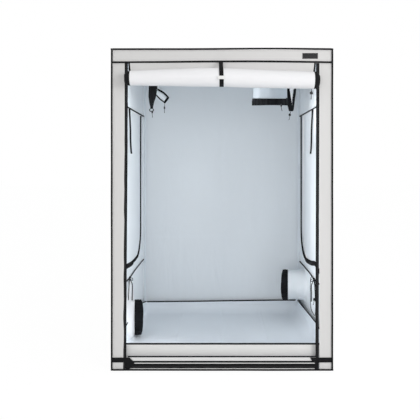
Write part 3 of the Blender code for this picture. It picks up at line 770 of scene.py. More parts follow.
class TENT_OT_cover(bpy.types.Operator):
    """Make the floor, roof and walls of the cover"""

    bl_idname = "tent.cover"
    bl_label = "Cover"

    def execute(self, context):
        depth = context.scene.tent_cloth.slack
        piece, flat = wall_sheet("floor_panel", (0, 0, 1), 3.1, depth=0, fold=0)
        line_sides(piece, UP)
        mount_panel(piece, "floor_cloth", "floor_panel", flat, ["floor"])
        piece, flat = wall_sheet("back_wall", (0, 1, 0), 7.3, depth=depth)
        mount_panel(piece, "back_cloth", "back_wall", flat, ["top_bar_back"])
        self.roof()
        self.side_wall("left", -1, 17.7, ["left_sleeve"], depth)
        self.side_wall("right", 1, 23.3, ["vent_cover", "right_sleeve"], depth)
        self.corner_seams()
        return {"FINISHED"}

    def roof(self):
        """The roof cloth with its three round ports and the collar's."""
        piece, flat = wall_sheet("roof_panel", (0, 0, 1), 11.9, depth=0.003, fold=0.0008)
        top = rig.box("roof_panel")[1].z
        cut = 0
        for name in ("roof_sleeve", "cable_sock_left", "cable_sock_right"):
            start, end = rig.box(name)
            cut += cut_hole(piece, Vector(((start.x + end.x) / 2, (start.y + end.y) / 2, top)), UP,
                            (end.x - start.x) / 2 + SEAM_GAP)
        start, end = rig.box("cable_collar")
        radius = (end.y - start.y) / 2 + 0.0004
        cut += cut_hole(piece, Vector((start.x + radius, (start.y + end.y) / 2, top)), UP, radius)
        mount_panel(piece, "roof_cloth", "roof_panel", flat, ["top_bar_left", "top_bar_right"],
                    flat[0] * flat[1] - cut)

    def corner_seams(self):
        """The pale seam allowance that stands in each back corner, in front of the post."""
        for name, side in SIDES:
            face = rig.box(f"post_back_{name}")[0].y
            start, end = sorted((side * 0.7385, side * 0.7488))
            strip = box_piece((start, face - 0.0022, 0.125), (end, face - 0.001, 2.185))
            paint(strip, "lining")
            mount(soften(strip), f"corner_seam_{name}", slot="outer_canvas")

    def side_wall(self, name, side, seed, ports, depth):
        """A side wall with its door and its ports cut out."""
        piece, flat = wall_sheet(f"{name}_wall", (side, 0, 0), seed, depth=depth * 0.7)
        door_low, door_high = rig.box(f"side_zip_{name}")
        half = (door_high.y - door_low.y) / 2 + SEAM_GAP
        bottom = door_low.z - SEAM_GAP
        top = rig.box(f"side_door_{name}")[1].z + 0.0004
        cut_away(piece, door_blank(side, half, bottom, top, 0.2596, 0.06))
        draw_up(piece)
        cut = half * 2 * (top - bottom)
        for port in ports:
            start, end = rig.box(port)
            radius = PORT_RADIUS + 0.0007
            height = (start.z + end.z) / 2 if port == "vent_cover" else end.z - radius
            centre = Vector((side * HALF_WIDTH, (start.y + end.y) / 2, height))
            cut += cut_hole(piece, centre, RIGHT, radius)
        mount_panel(piece, f"{name}_cloth", f"{name}_wall", flat, [f"top_bar_{name}"],
                    flat[0] * flat[1] - cut)


class TENT_OT_front(bpy.types.Operator):
    """Make the front frame of the cover: header, pillars and sill"""

    bl_idname = "tent.front"
    bl_label = "Front frame"

    def execute(self, context):
        for name, seed, rest in (("front_header", 2.2, "top_bar_front"),
                                 ("front_pillar_left", 5.5, "post_front_left"),
                                 ("front_pillar_right", 8.1, "post_front_right"),
                                 ("front_sill", 9.4, "bottom_bar_front")):
            piece, flat = wall_sheet(name, (0, -1, 0), seed, depth=0.0022, cell=0.011, fold=0)
            # The sill takes the paler tray_wall finish in place of the canvas, so that it shows as bright as the
            # pillars in the weaker light down low: painted light.
            if name == "front_sill":
                piece.data.materials[0] = made["tray_wall"]
            mount_panel(piece, f"{name}_cloth", name, flat, [rest])
        self.label()
        self.webbing()
        self.sill_bands()
        return {"FINISHED"}

    def label(self):
        """A bare plate, stitched on round its edge."""
        low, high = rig.box("header_label")
        shift = Vector((0.005, 0, 0.004))
        patch = box_piece(low + shift, high + shift, bevel=0.0005)
        paint(patch, "label")
        inset = Vector((0.003, 0, 0.003))
        low, high = low + shift + inset, high + shift - inset
        front = low.y - 0.0003
        corners = [Vector((x, front, z)) for x, z in
                   ((low.x, low.z), (high.x, low.z), (high.x, high.z), (low.x, high.z))]
        rim = []
        for start, end in zip(corners, corners[1:] + corners[:1]):
            count = int((end - start).length / 0.004)
            along = (end - start).normalized()
            rim += [(start.lerp(end, (step + 0.5) / count), along) for step in range(count)]
        piece = join("label_patch", [patch, stitch_row(rim, 0.0025, "thread")])
        mount(soften(piece), "label_patch", slot="label_plate", nodes=["header_label"])

    def webbing(self):
        """The band across each corner of the sill, and the patch that ends the zip below it."""
        for name, side in SIDES:
            low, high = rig.box(f"corner_webbing_{name}")
            self.corner_band(name, side, low, high)
            self.end_patch(name, side, low)

    def corner_band(self, name, side, low, high):
        """A stitched band whose inner end is cut at a slant."""
        outer, inner = (low.x, high.x) if side < 0 else (high.x, low.x)
        below, above = (-0.597, -0.632) if side < 0 else (0.621, 0.6)
        middle = (low.y + high.y) / 2
        band = grid_sheet((low.x, middle, low.z), (high.x - low.x, 0, 0), (0, 0, high.z - low.z), 30, 8)
        for vertex in band.data.vertices:
            share = (vertex.co.x - outer) / (inner - outer)
            lift = (vertex.co.z - low.z) / (high.z - low.z)
            tip = below + (above - below) * lift
            vertex.co.x = outer + (tip - outer) * share
            vertex.co.y -= 0.0014 + 0.0008 * math.sin(math.pi * share) * math.sin(math.pi * lift)
        thicken(band, high.y - low.y)
        paint(band, "webbing")
        rows = []
        for level in (low.z + 0.003, high.z - 0.003):
            for step in range(20):
                x = outer + (inner - outer) * (0.05 + 0.78 * step / 19)
                rows.append((Vector((x, low.y - 0.0008, level)), RIGHT))
        piece = join(f"corner_band_{name}", [band, stitch_row(rows, 0.003, "webbing")])
        trim(piece, f"corner_band_{name}", angle=40, nodes=[f"corner_webbing_{name}"])

    def end_patch(self, name, side, low):
        start, end, taper = (-0.653, -0.597, 0.04) if side < 0 else (0.634, 0.657, 0.0)
        top = low.z + 0.004
        patch = box_piece((start, low.y - 0.003, 0.0065), (end, low.y - 0.0014, top))
        modify(patch, "SUBSURF", levels=3, render_levels=3, subdivision_type="SIMPLE")
        for vertex in patch.data.vertices:
            drop = max(top - vertex.co.z, 0) / (low.z - 0.0025)
            vertex.co.x -= taper * drop ** 1.6 * (vertex.co.x - start) / (end - start)
        trim(patch, f"zip_end_patch_{name}", angle=40)

    def sill_bands(self):
        low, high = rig.box("front_sill")
        for name, base, top in (("upper", high.z - 0.003, high.z + 0.0068), ("middle", 0.0535, 0.066)):
            band = box_piece((low.x, low.y - 0.0018, base), (high.x, low.y - 0.0004, top), bevel=0.0005)
            trim(band, f"sill_binding_{name}", angle=40)


def stitch_row(spots, length, finish):
    """Short round stitches at given places and directions, as one mesh."""
    radius = 0.0004
    stitches = []
    for spot, along in spots:
        stitch = create(bpy.ops.mesh.primitive_uv_sphere_add, segments=6, ring_count=4, radius=radius,
                        location=spot)
        stitch.scale = (1, 1, length / radius / 2)
        stitch.rotation_mode = "QUATERNION"
        stitch.rotation_quaternion = along.to_track_quat("Z", "Y")
        stitches.append(stitch)
    return paint(settle(join("stitches", stitches)), finish)


def zip_teeth(start, along, across, out, pitch):
    """Two rows of teeth that mesh along a line."""
    direction = along.normalized()
    tooth_long, tooth_wide, tooth_deep = 0.0048, pitch * 0.62, 0.0018
    pair = []
    for index, shift in enumerate((-1, 1)):
        spot = start + direction * pitch * (0.3 + 0.5 * index) + across * shift * 0.0013
        tooth = create(bpy.ops.mesh.primitive_cube_add, size=1)
        tooth.matrix_world = frame_of(across * tooth_long, direction * tooth_wide, out * tooth_deep,
                                      spot + out * tooth_deep / 2)
        pair.append(settle(tooth))
    teeth = join("teeth", pair)
    modify(teeth, "ARRAY", count=int(along.length / pitch), use_relative_offset=False,
           use_constant_offset=True, constant_offset_displace=direction * pitch)
    return paint(teeth, "teeth")


def tape_with_teeth(name, node_name, along, across, out, pitch, lean=0.0, wider=0.0):
    """A zip: its woven tape, raised along the middle, and its teeth.

    lean moves its lower end across, and wider adds to one side of the tape."""
    low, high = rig.box(node_name)
    span = high - low
    width, length, deep = (abs(span.dot(axis)) for axis in (across, along, out))
    middle = (low + high) / 2
    start = middle - along * length / 2
    tape = grid_sheet(start - across * width / 2 + out * (-deep / 2 + 0.0006), along * length,
                      across * (width + wider), max(8, int(length / 0.02)), 8)
    for vertex in tape.data.vertices:
        off = (vertex.co - middle).dot(across) / (width / 2)
        run = (vertex.co - start).dot(along)
        wave = ripple(run * 9, off * 0.6, 1.7)
        vertex.co += out * (0.0005 * (1 - off * off) + 0.0004 * wave)
    thicken(tape, 0.001)
    paint(tape, "webbing")
    teeth = zip_teeth(start + out * (-deep / 2 + 0.0016), along * length, across, out, pitch)
    piece = join(name, [tape, teeth])
    for vertex in piece.data.vertices:
        vertex.co += across * lean * ease((high.z - vertex.co.z) / (high.z - low.z))
    mount(soften(piece), name, slot="black_trim", nodes=[node_name])


class TENT_OT_zips(bpy.types.Operator):
    """Make the front door's zips with their teeth"""

    bl_idname = "tent.zips"
    bl_label = "Front zips"

    def execute(self, context):
        pitch = context.scene.tent_trim.tooth_pitch
        for name, side in SIDES:
            tape_with_teeth(f"front_zip_{name}", f"zip_tape_{name}", UP, RIGHT, -BACK, pitch,
                            lean=-0.011 if side < 0 else -0.0045)
        tape_with_teeth("front_zip_bottom", "zip_tape_bottom", RIGHT, UP, -BACK, pitch, wider=0.0045)
        return {"FINISHED"}


def rounded_loop(low_u, high_u, low_v, high_v, radius):
    """Points round a rectangle with round corners, 2 cm apart on the straights."""
    points = []
    corners = [(high_u - radius, low_v + radius, -90), (high_u - radius, high_v - radius, 0),
               (low_u + radius, high_v - radius, 90), (low_u + radius, low_v + radius, 180)]

    def on_arc(corner, degrees):
        turn = math.radians(degrees)
        return Vector((corner[0] + radius * math.cos(turn), corner[1] + radius * math.sin(turn), 0))

    for corner, after in zip(corners, corners[1:] + corners[:1]):
        first = corner[2]
        points += [on_arc(corner, first + 15 * part) for part in range(7)]
        start, end = points[-1], on_arc(after, first + 90)
        count = int((end - start).length / 0.02)
        points += [start.lerp(end, part / count) for part in range(1, count)]
    return points


def wander(point, seed):
    """Move a sewn cord's point a little, as sewing does."""
    shifts = [Vector((seed, 0, 0)), Vector((0, seed, 0)), Vector((0, 0, seed))]
    return point + Vector([noise.noise(point * 3.1 + shift) for shift in shifts]) * 0.0009


class TENT_OT_piping(bpy.types.Operator):
    """Make the black piping in the cover's outer seams"""

    bl_idname = "tent.piping"
    bl_label = "Piping"

    def execute(self, context):
        inset, radius = 0.0048, 0.006
        for name in ("front", "back"):
            low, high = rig.box(f"piping_{name}")
            y = low.y + inset if name == "front" else high.y - inset
            points = []
            for point in rounded_loop(low.x + 0.0052, high.x - 0.0052, low.z + inset, high.z - inset, 0.01):
                sag = 0.0035 * bump_at(point.x, 0.3, 0.32) if point.y > 2.1 else 0
                points.append(wander(Vector((point.x, y, point.y)) + UP * sag, 2.7))
            runs = self.header_run(low, high, inset) if name == "front" else self.side_runs(low, high, inset)
            parts = [tube(points, radius, closed=True)] + [tube(run, radius) for run in runs]
            trim(join(f"edge_piping_{name}", parts), f"edge_piping_{name}", nodes=[f"piping_{name}"])
        return {"FINISHED"}

    def header_run(self, low, high, inset):
        """The piping's course under the header, which bows up a little."""
        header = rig.box("front_header")[0]
        run = []
        for step in range(71):
            share = step / 70
            bow = 0.006 * math.sin(math.pi * share) - 0.0015 * math.sin(2 * math.pi * share)
            x = low.x + inset + (high.x - low.x - inset * 2) * share
            run.append(wander(Vector((x, header.y - 0.005, header.z + inset + bow)), 6.3))
        return [run]

    def side_runs(self, low, high, inset):
        """The courses from front to back, along the sides of the floor and the roof."""
        return [[wander(Vector((side * (high.x - inset), -0.7545 + 1.509 * step / 70, level)), side * 4.4)
                 for step in range(71)]
                for side in (-1, 1) for level in (low.z + inset, high.z - inset)]


class TENT_OT_door(bpy.types.Operator):
    """Make the front door: the hanging cloth, the roll, the strap and the buckle"""

    bl_idname = "tent.door"
    bl_label = "Rolled door"

    def execute(self, context):
        roll_low, roll_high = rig.box("door_roll")
        half = 0.6155
        centre_y = (roll_low.y + roll_high.y) / 2
        centre_z = (roll_low.z + roll_high.z) / 2
        radius = (roll_high.y - roll_low.y) / 2 - 0.0002
        self.roll(half, centre_y, centre_z, radius)
        self.curtain(half + 0.0245, centre_z)
        self.strap(centre_y, centre_z + 0.0055)
        self.buckle()
        return {"FINISHED"}

    def roll(self, half, centre_y, centre_z, radius):
        """The door's cloth, wound from the outside in, lining outwards."""
        turns, pitch = 8.4, 0.0052
        rows, columns = 300, 72
        edge, band = 0.035, 5
        shape = ((-1.0, 0.0512, 1.9885), (-0.73, 0.056, 1.9915), (-0.27, 0.0648, 1.995),
                 (0.0, 0.0652, 1.994), (0.3, 0.064, 1.9865), (0.93, 0.06, 1.9755), (1.0, 0.0592, 1.974))

        def profile(share):
            """The roll's radius and height at a place along it, from -1 at the left to 1."""
            for first, second in zip(shape, shape[1:]):
                if share <= second[0]:
                    break
            t = min(max((share - first[0]) / (second[0] - first[0]), -0.1), 1.1)
            return first[1] + (second[1] - first[1]) * t, first[2] + (second[2] - first[2]) * t

        def wound(run, across):
            column = across * columns
            if column < band:
                x = -half - edge * (1 - column / band)
            elif column > columns - band:
                x = half + edge * (column - columns + band) / band
            else:
                x = half * (2 * (column - band) / (columns - 2 * band) - 1)
            angle = run * turns * 2 * math.pi
            outer, z = profile(x / half)
            reach = outer - run * turns * pitch * outer / radius
            reach -= 0.0012 * bump_at(x, 0, 0.03)
            if abs(x) > half:
                out = (abs(x) - half) / edge
                reach = reach * math.sqrt(1 - 0.55 * out ** 3) + 0.0022 * out * math.sin(angle * 1.3 + 3 * x)
                x += 0.003 * out * math.sin(angle * 0.7 + x)
            for tall, along, about in ((0.001, 2.2, 0.8), (0.0006, 9, 1.6)):
                reach += tall * ripple(x * along, math.cos(angle) * about, math.sin(angle) * about)
            return Vector((x, centre_y + reach * math.cos(angle), z - reach * math.sin(angle)))

        piece = wrap_grid(rows, columns, wound, closed=False)
        thicken(piece, CLOTH)
        paint(piece, "white_cloth", "canvas", "webbing")
        middle = Vector((0, centre_y, centre_z))
        for polygon in piece.data.polygons:
            away = polygon.center - middle
            away.x = 0
            if abs(polygon.center.x) > half:
                polygon.material_index = 2
            elif polygon.normal.dot(away) < 0:
                polygon.material_index = 1
        length = turns * 2 * math.pi * (radius - turns * pitch / 2)
        mount(soften(piece, 60), "rolled_door", body="front_door", slot="white_lining", nodes=["door_roll"])
        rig.sheet(piece, flat=((half + edge) * 2, length), held="folded", rests_on=["strap_lower_half"])
        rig.squash(piece, "front_door_unroll", axis=(0, 1, 0), anchor=(0, centre_y + radius, 0), keep=0.12)

    def curtain(self, width, bottom):
        """The cloth between the header and the roll, with its edge tapes drawn in."""
        low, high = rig.box("door_curtain")
        y, tall = (low.y + high.y) / 2, high.z - bottom

        def drawn(share):
            return 1 - 0.014 * ease(share * 1.2)

        piece = grid_sheet((-width, y, bottom), (width * 2, 0, 0), (0, 0, tall), 110, 40)
        for vertex in piece.data.vertices:
            share = (high.z - vertex.co.z) / tall
            sway = 0.0012 * ripple(vertex.co.x * 6, share * 0.7, 4.4)
            vertex.co.y += sway * share * (1 - share) * 3
            vertex.co.x *= drawn(share)
        thicken(piece, CLOTH)
        paint(piece, "canvas", "lining", "webbing")
        for polygon in piece.data.polygons:
            on_tape = abs(polygon.center.x) > (width - 0.013) * drawn((high.z - polygon.center.z) / tall)
            polygon.material_index = 2 if on_tape else int(polygon.normal.y > 0.3)
        soften(piece)
        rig.blend(piece, "tent", "front_door", start=(0, y, high.z - 0.006), end=(0, y, bottom + 0.03))
        piece.name = "door_cloth"
        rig.replaces(piece, "door_curtain")
        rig.slot(piece, "outer_canvas")
        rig.sheet(piece, flat=(width * 2, tall), held="hung", rests_on=["front_header_cloth"])

    def strap(self, centre_y, centre_z):
        """The strap in two halves: one sewn to the header, one that goes round under the roll."""
        low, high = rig.box("door_strap_upper")
        radius = centre_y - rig.box("door_strap_lower")[0].y + 0.0056
        width = (high.x - low.x) * 1.08
        wall = 0.0015
        middle = radius - wall / 2
        root = Vector((0, high.y - wall - 0.004, high.z + 0.012))
        reach = math.hypot(centre_y - root.y, root.z - centre_z)
        rise = math.atan2(root.z - centre_z, centre_y - root.y)
        first = rise - math.acos((radius - wall) / reach)
        gap = 0.13

        def on_roll(turn, x):
            return Vector((x, centre_y - middle * math.cos(turn), centre_z + middle * math.sin(turn)))

        def upper(across, run):
            if run < 0.45:
                spot = (root + Vector((0, wall / 2, 0))).lerp(on_roll(first, 0), run / 0.45)
            else:
                spot = on_roll(first - first * (run - 0.45) / 0.55, 0)
            return spot + RIGHT * ((across - 0.5) * width - 0.008 + 0.004 * run)

        def lower(across, run):
            return on_roll(-gap + (gap - math.radians(150)) * run, (across - 0.5) * width - 0.003)

        for half, shape, body in (("upper", upper, "tent"), ("lower", lower, "front_door")):
            piece = wrap_grid(10, 50, shape, closed=False)
            thicken(piece, wall)
            trim(piece, f"strap_{half}_half", angle=40, body=body, nodes=[f"door_strap_{half}"])
        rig.squash(piece, "front_door_unroll", axis=(0, 1, 0),
                  anchor=(0, centre_y + radius - 0.002, 0), keep=0.12)

    def buckle(self):
        low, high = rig.box("strap_buckle")
        shift = Vector((-0.004, -0.005, -0.008))
        piece = box_piece(low + shift, high + shift)
        select_faces(piece, lambda face: face.normal.y < -0.5)
        bpy.ops.mesh.inset(thickness=0.0035, depth=-0.0012)
        bpy.ops.mesh.inset(thickness=0.002, depth=0.001)
        bpy.ops.object.mode_set(mode="OBJECT")
        modify(piece, "BEVEL", width=0.0012, segments=3, limit_method="ANGLE")
        paint(piece, "plastic")
        mount(soften(piece), "side_release_buckle", slot="white_plastic", nodes=["strap_buckle"])


class TENT_OT_side_doors(bpy.types.Operator):
    """Make the side doors and the zips round them"""

    bl_idname = "tent.side_doors"
    bl_label = "Side doors"

    def execute(self, context):
        for name, side in SIDES:
            low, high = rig.box(f"side_door_{name}")
            half = (high.y - low.y) / 2
            panel, flat = wall_sheet(f"side_door_{name}", (side, 0, 0), 31.3 + side, depth=0.004, fold=0.001)
            keep = door_blank(side, half + 0.001, low.z, high.z - 0.003, FLAP_CORNER, 0.08)
            modify(panel, "BOOLEAN", object=keep, operation="INTERSECT", solver="EXACT")
            bpy.data.objects.remove(keep)
            draw_up(panel)
            mount_panel(panel, f"side_flap_cloth_{name}", f"side_door_{name}", flat, [f"{name}_cloth"],
                        body=f"side_flap_{name}", held="hung")
            self.zip_band(name, side, half)
            self.welt(name, side, high.z)
        return {"FINISHED"}

    def zip_band(self, name, side, half):
        """A U of zip tape with its coil, and the narrow welt that stands up over it inside."""
        low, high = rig.box(f"side_zip_{name}")
        width = (high.y - low.y) / 2 - half
        radius = FLAP_CORNER + width / 2
        centre_half = half + width / 2
        bottom = low.z + width / 2
        total, along = follow(self.course((low.x + high.x) / 2, centre_half, bottom, high.z, radius))

        def band(run, across):
            spot, ahead = along(run * total)
            wide = width * (1.12 + 0.55 * (1 - abs(ahead.z)) ** 0.6)
            return spot + ahead.cross(RIGHT) * (across - 0.5) * wide

        def lip(run, across):
            spot, ahead = along(run * total)
            level = 1 - abs(ahead.z)
            stand = 0.0092 + 0.002 * level + 0.0012 * noise.noise(spot * 5)
            lean = (0.004 + 0.004 * level) * across * across
            return spot - RIGHT * side * (0.0012 + stand * across) + ahead.cross(RIGHT) * (0.001 - lean)

        tape = wrap_grid(300, 8, band, closed=False)
        thicken(tape, 0.0024)
        paint(tape, "lining", "webbing")
        for polygon in tape.data.polygons:
            upright = abs(polygon.center.y) > centre_half - 0.03 and polygon.center.z > bottom + radius
            inner = abs(polygon.center.y) > centre_half + 0.002
            polygon.material_index = 0 if upright and inner else 1
        flap = wrap_grid(300, 5, lip, closed=False)
        thicken(flap, 0.0016)
        paint(flap, "webbing")
        coil = tube([along(total * step / 360)[0] + RIGHT * side * 0.0009 for step in range(361)], 0.0014,
                    sides=2)
        paint(coil, "teeth")
        piece = draw_up(join(f"side_zip_run_{name}", [tape, flap, coil]))
        if side > 0:
            for vertex in piece.data.vertices:
                far = ease((vertex.co.y + 0.1) / 0.6)
                vertex.co += Vector((-0.013, 0.026, -0.014 * (1 - far))) * far
        mount(soften(piece), f"side_zip_run_{name}", slot="black_trim", nodes=[f"side_zip_{name}"])

    def course(self, x, half, bottom, top, corner):
        """The zip's line: down one side, round the corner, along the bottom and up again."""
        down = [Vector((x, -half, top - (top - bottom - corner) * step / 60)) for step in range(61)]
        for step in range(1, 19):
            turn = math.pi + math.pi / 2 * step / 18
            down.append(Vector((x, -half + corner + corner * math.cos(turn),
                                bottom + corner + corner * math.sin(turn))))
        level = [Vector((x, -half + corner + (half - corner) * 2 * step / 40, bottom))
                 for step in range(1, 41)]
        return down + level + [Vector((x, -point.y, point.z)) for point in down[-2::-1]]

    def welt(self, name, side, top):
        """The bound seam from front to back that the door hangs from."""
        run = []
        for step in range(71):
            bend = 0.0012 * ripple(step * 0.15, side, 3)
            run.append(Vector((side * CORD_X + side * bend, -0.738 + 1.478 * step / 70,
                               top + 0.0125 - 0.002 * math.sin(math.pi * step / 70))))
        trim(tube(run, 0.0056), f"side_door_welt_{name}")


class TENT_OT_tray(bpy.types.Operator):
    """Make the spill tray with its bound edges"""

    bl_idname = "tent.tray"
    bl_label = "Spill tray"

    def execute(self, context):
        low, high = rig.box("spill_tray")
        rise, shoulder, level_run = 0.176, 0.2, 0.4
        falls = {"left": (0.1, 2.5), "right": (0.114, 1.0)}
        cells = 60

        def side_height(y, tail, fall):
            share = (y - low.y - level_run) / (high.y - low.y - level_run)
            if share < 0:
                return rise + (shoulder - rise) * ease(1 + share * 2)
            return shoulder + (tail - shoulder) * share ** fall

        self.floor(low, high)
        inset = TRAY_SHEET / 2
        ys = [low.y + inset + (high.y - low.y - TRAY_SHEET) * step / cells for step in range(cells + 1)]
        for name, side in SIDES:
            x = (low.x + inset) if side < 0 else (high.x - inset)
            self.wall(f"tray_wall_{name}", [Vector((x, y, low.z)) for y in ys],
                      [side_height(y, *falls[name]) for y in ys], RIGHT * -side)
        xs = [low.x + inset + (high.x - low.x - TRAY_SHEET) * step / cells for step in range(cells + 1)]
        self.wall("tray_wall_front", [Vector((x, low.y + inset, low.z)) for x in xs],
                  [rise] * len(xs), BACK)
        self.wall("tray_wall_back", [Vector((x, high.y - inset, low.z)) for x in xs],
                  [0.107 - 0.007 * math.cos(math.pi * (x - low.x) / (high.x - low.x)) for x in xs], -BACK)
        return {"FINISHED"}

    def floor(self, low, high):
        """The tray's floor, which curves up into its sides and keeps its fold lines."""
        gap = 0.0006
        piece = grid_sheet((low.x + gap, low.y + gap, low.z + TRAY_SHEET / 2),
                           (high.x - low.x - gap * 2, 0, 0), (0, high.y - low.y - gap * 2, 0), 210, 90)
        for vertex in piece.data.vertices:
            point = vertex.co
            edge = min(point.x - low.x, high.x - point.x, point.y - low.y, high.y - point.y)
            lift = abs(ripple(point.x * 2.3, point.y * 3.1, 8.8)) ** 2 * 0.012
            lift += 0.0032 * crease(point.x - low.x, 0.36, 0.007)
            lift += 0.0012 * crease(point.y - low.y, 0.36, 0.006)
            vertex.co.z += lift * ease(edge / 0.1)
            for distance, reach in ((high.y - point.y, 0.105), (point.y - low.y, 0.03),
                                    (point.x - low.x, 0.05), (high.x - point.x, 0.105)):
                away = min(distance / reach, 1)
                vertex.co.z += reach * (1 - math.sqrt(1 - (1 - away) ** 2)) * 0.8
        thicken(piece, TRAY_SHEET)
        paint(piece, "tray_sheet")
        mount(soften(piece), "tray_floor", slot="tray_sheet", nodes=["spill_tray"])
        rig.sheet(piece, flat=(high.x - low.x - gap * 2, high.y - low.y - gap * 2), held="laid",
                 rests_on=["floor_cloth"])

    def wall(self, name, feet, tops, inward):
        """One side of the tray, with black binding folded over its top edge."""
        count = len(feet) - 1
        length = path_length(feet)

        def sheet(run, up):
            index = min(int(run * count), count - 1)
            share = run * count - index
            foot = feet[index].lerp(feet[index + 1], share)
            top = tops[index] + (tops[index + 1] - tops[index]) * share
            lean = 0.0035 * math.sin(math.pi * up) * noise.noise(foot * 4 + UP * up)
            lean = max(lean, -0.0004) * ease(min(run, 1 - run) / 0.04)
            return foot + UP * top * up + inward * lean

        panel = wrap_grid(count * 2, 12, sheet, closed=False)
        thicken(panel, CLOTH)
        paint(panel, "tray_wall", "tray_sheet")
        line_sides(panel, inward)
        mount(soften(panel), name, slot="tray_sheet")
        area = sum((tops[i] + tops[i + 1]) / 2 * (feet[i + 1] - feet[i]).length for i in range(count))
        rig.sheet(panel, flat=(length, max(tops)), held="stretched", area=min(area, length * max(tops)),
                 rests_on=["tray_floor"])
        edge = [sheet(step / count, 1.0) for step in range(count + 1)]

        def binding(around, run):
            index = min(int(run * count), count - 1)
            spot = edge[index].lerp(edge[index + 1], run * count - index)
            turn = around * 2 * math.pi
            return spot + inward * 0.0024 * math.cos(turn) + UP * (0.0062 * math.sin(turn) - 0.0055)

        trim(wrap_grid(12, count * 2, binding), f"{name}_binding")


def gathered_tube(name, stations, wall, finishes, folds, fold_depth, cells, size, slot, rests_on,
                  nodes=(), swell=Vector((0, 0, 0))):
    """A cloth tube through stations (centre, two half axes), with lengthwise folds.

    fold_depth(share) says how deep the gathers are at a share of the length, size is the cut
    cloth's length and radius, and swell is how far the two sides of the first half axis stand
    out at the far end."""
    def place(turn_share, share):
        reach = share * (len(stations) - 1)
        index = min(int(reach), len(stations) - 2)
        t = reach - index
        centre, one, two = (first.lerp(second, t)
                            for first, second in zip(stations[index], stations[index + 1]))
        turn = turn_share * 2 * math.pi
        depth = fold_depth(share)
        wave = math.cos(folds * turn + 0.7 * math.sin(3 * turn)) * depth
        wave += depth * 0.5 * ripple(math.cos(turn) * 2, math.sin(turn) * 2, share * 5)
        spot = centre + (one * math.cos(turn) + two * math.sin(turn)) * (1 + wave)
        return spot + swell * share * math.cos(turn) ** 2

    piece = wrap_grid(*cells, place)
    thicken(piece, wall, outward=-1)
    paint(piece, *finishes)
    mount(soften(piece, 60), name, slot=slot, nodes=nodes)
    length, radius = size
    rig.sheet(piece, flat=(2 * math.pi * radius, length), held="gathered", rests_on=rests_on)
    return piece


def cuff(name, stations, folds, fold_depth, cells_along, size, rests_on, swell):
    """The dark drawn end of a duct sleeve."""
    gathered_tube(name, stations, CUFF_CLOTH, ["black_cloth"], folds, fold_depth, (168, cells_along),
                  size, "black_trim", rests_on, swell=Vector(swell))


def hang_cord(name, points, radius, far_end="object", lay="hanging"):
    """A black cord along points, with a knot where it ends in one, declared as a cord."""
    piece = trim(tube(points, radius), name)
    knots = []
    if far_end == "knot":
        knot = create(bpy.ops.mesh.primitive_uv_sphere_add, segments=14, ring_count=8,
                      radius=radius * 1.8, location=points[-1])
        knot.scale = (1, 1, 0.8)
        knots.append(trim(settle(knot), name.replace("_tail", "_knot")))
    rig.cord(piece, exit=points[0], length=path_length(points), diameter=radius * 2, far_end=far_end,
            stiffness="limp", lay=lay, path=points, with_pieces=knots)


def cord_lock(name, spot, lean, wide=0.0072):
    """A barrel cord lock on a drawcord, with the cord's tail below it."""
    spot = Vector(spot)
    high, fall = 0.017, 0.032
    barrel = settle(create(bpy.ops.mesh.primitive_cylinder_add, vertices=20, radius=wide, depth=high,
                           location=spot))
    modify(barrel, "BEVEL", width=0.0018, segments=3, limit_method="ANGLE")
    button = settle(create(bpy.ops.mesh.primitive_cylinder_add, vertices=16, radius=0.0046, depth=0.006,
                           location=spot + UP * (high / 2 + 0.002)))
    modify(button, "BEVEL", width=0.001, segments=2, limit_method="ANGLE")
    lock = join(name, [barrel, button])
    paint(lock, "black_plastic")
    mount(soften(lock), name)
    start = spot - UP * (high / 2 - 0.0005)
    points = smooth_path([start + Vector((lean * aside, forward, -fall * share)) for aside, forward, share in
                          ((0, 0, 0), (0.1, 0, 0.3), (0.5, 0.001, 0.65), (1, 0.002, 1))])
    hang_cord(f"{name}_tail", points, bpy.context.scene.tent_trim.cord_diameter / 2, far_end="knot")


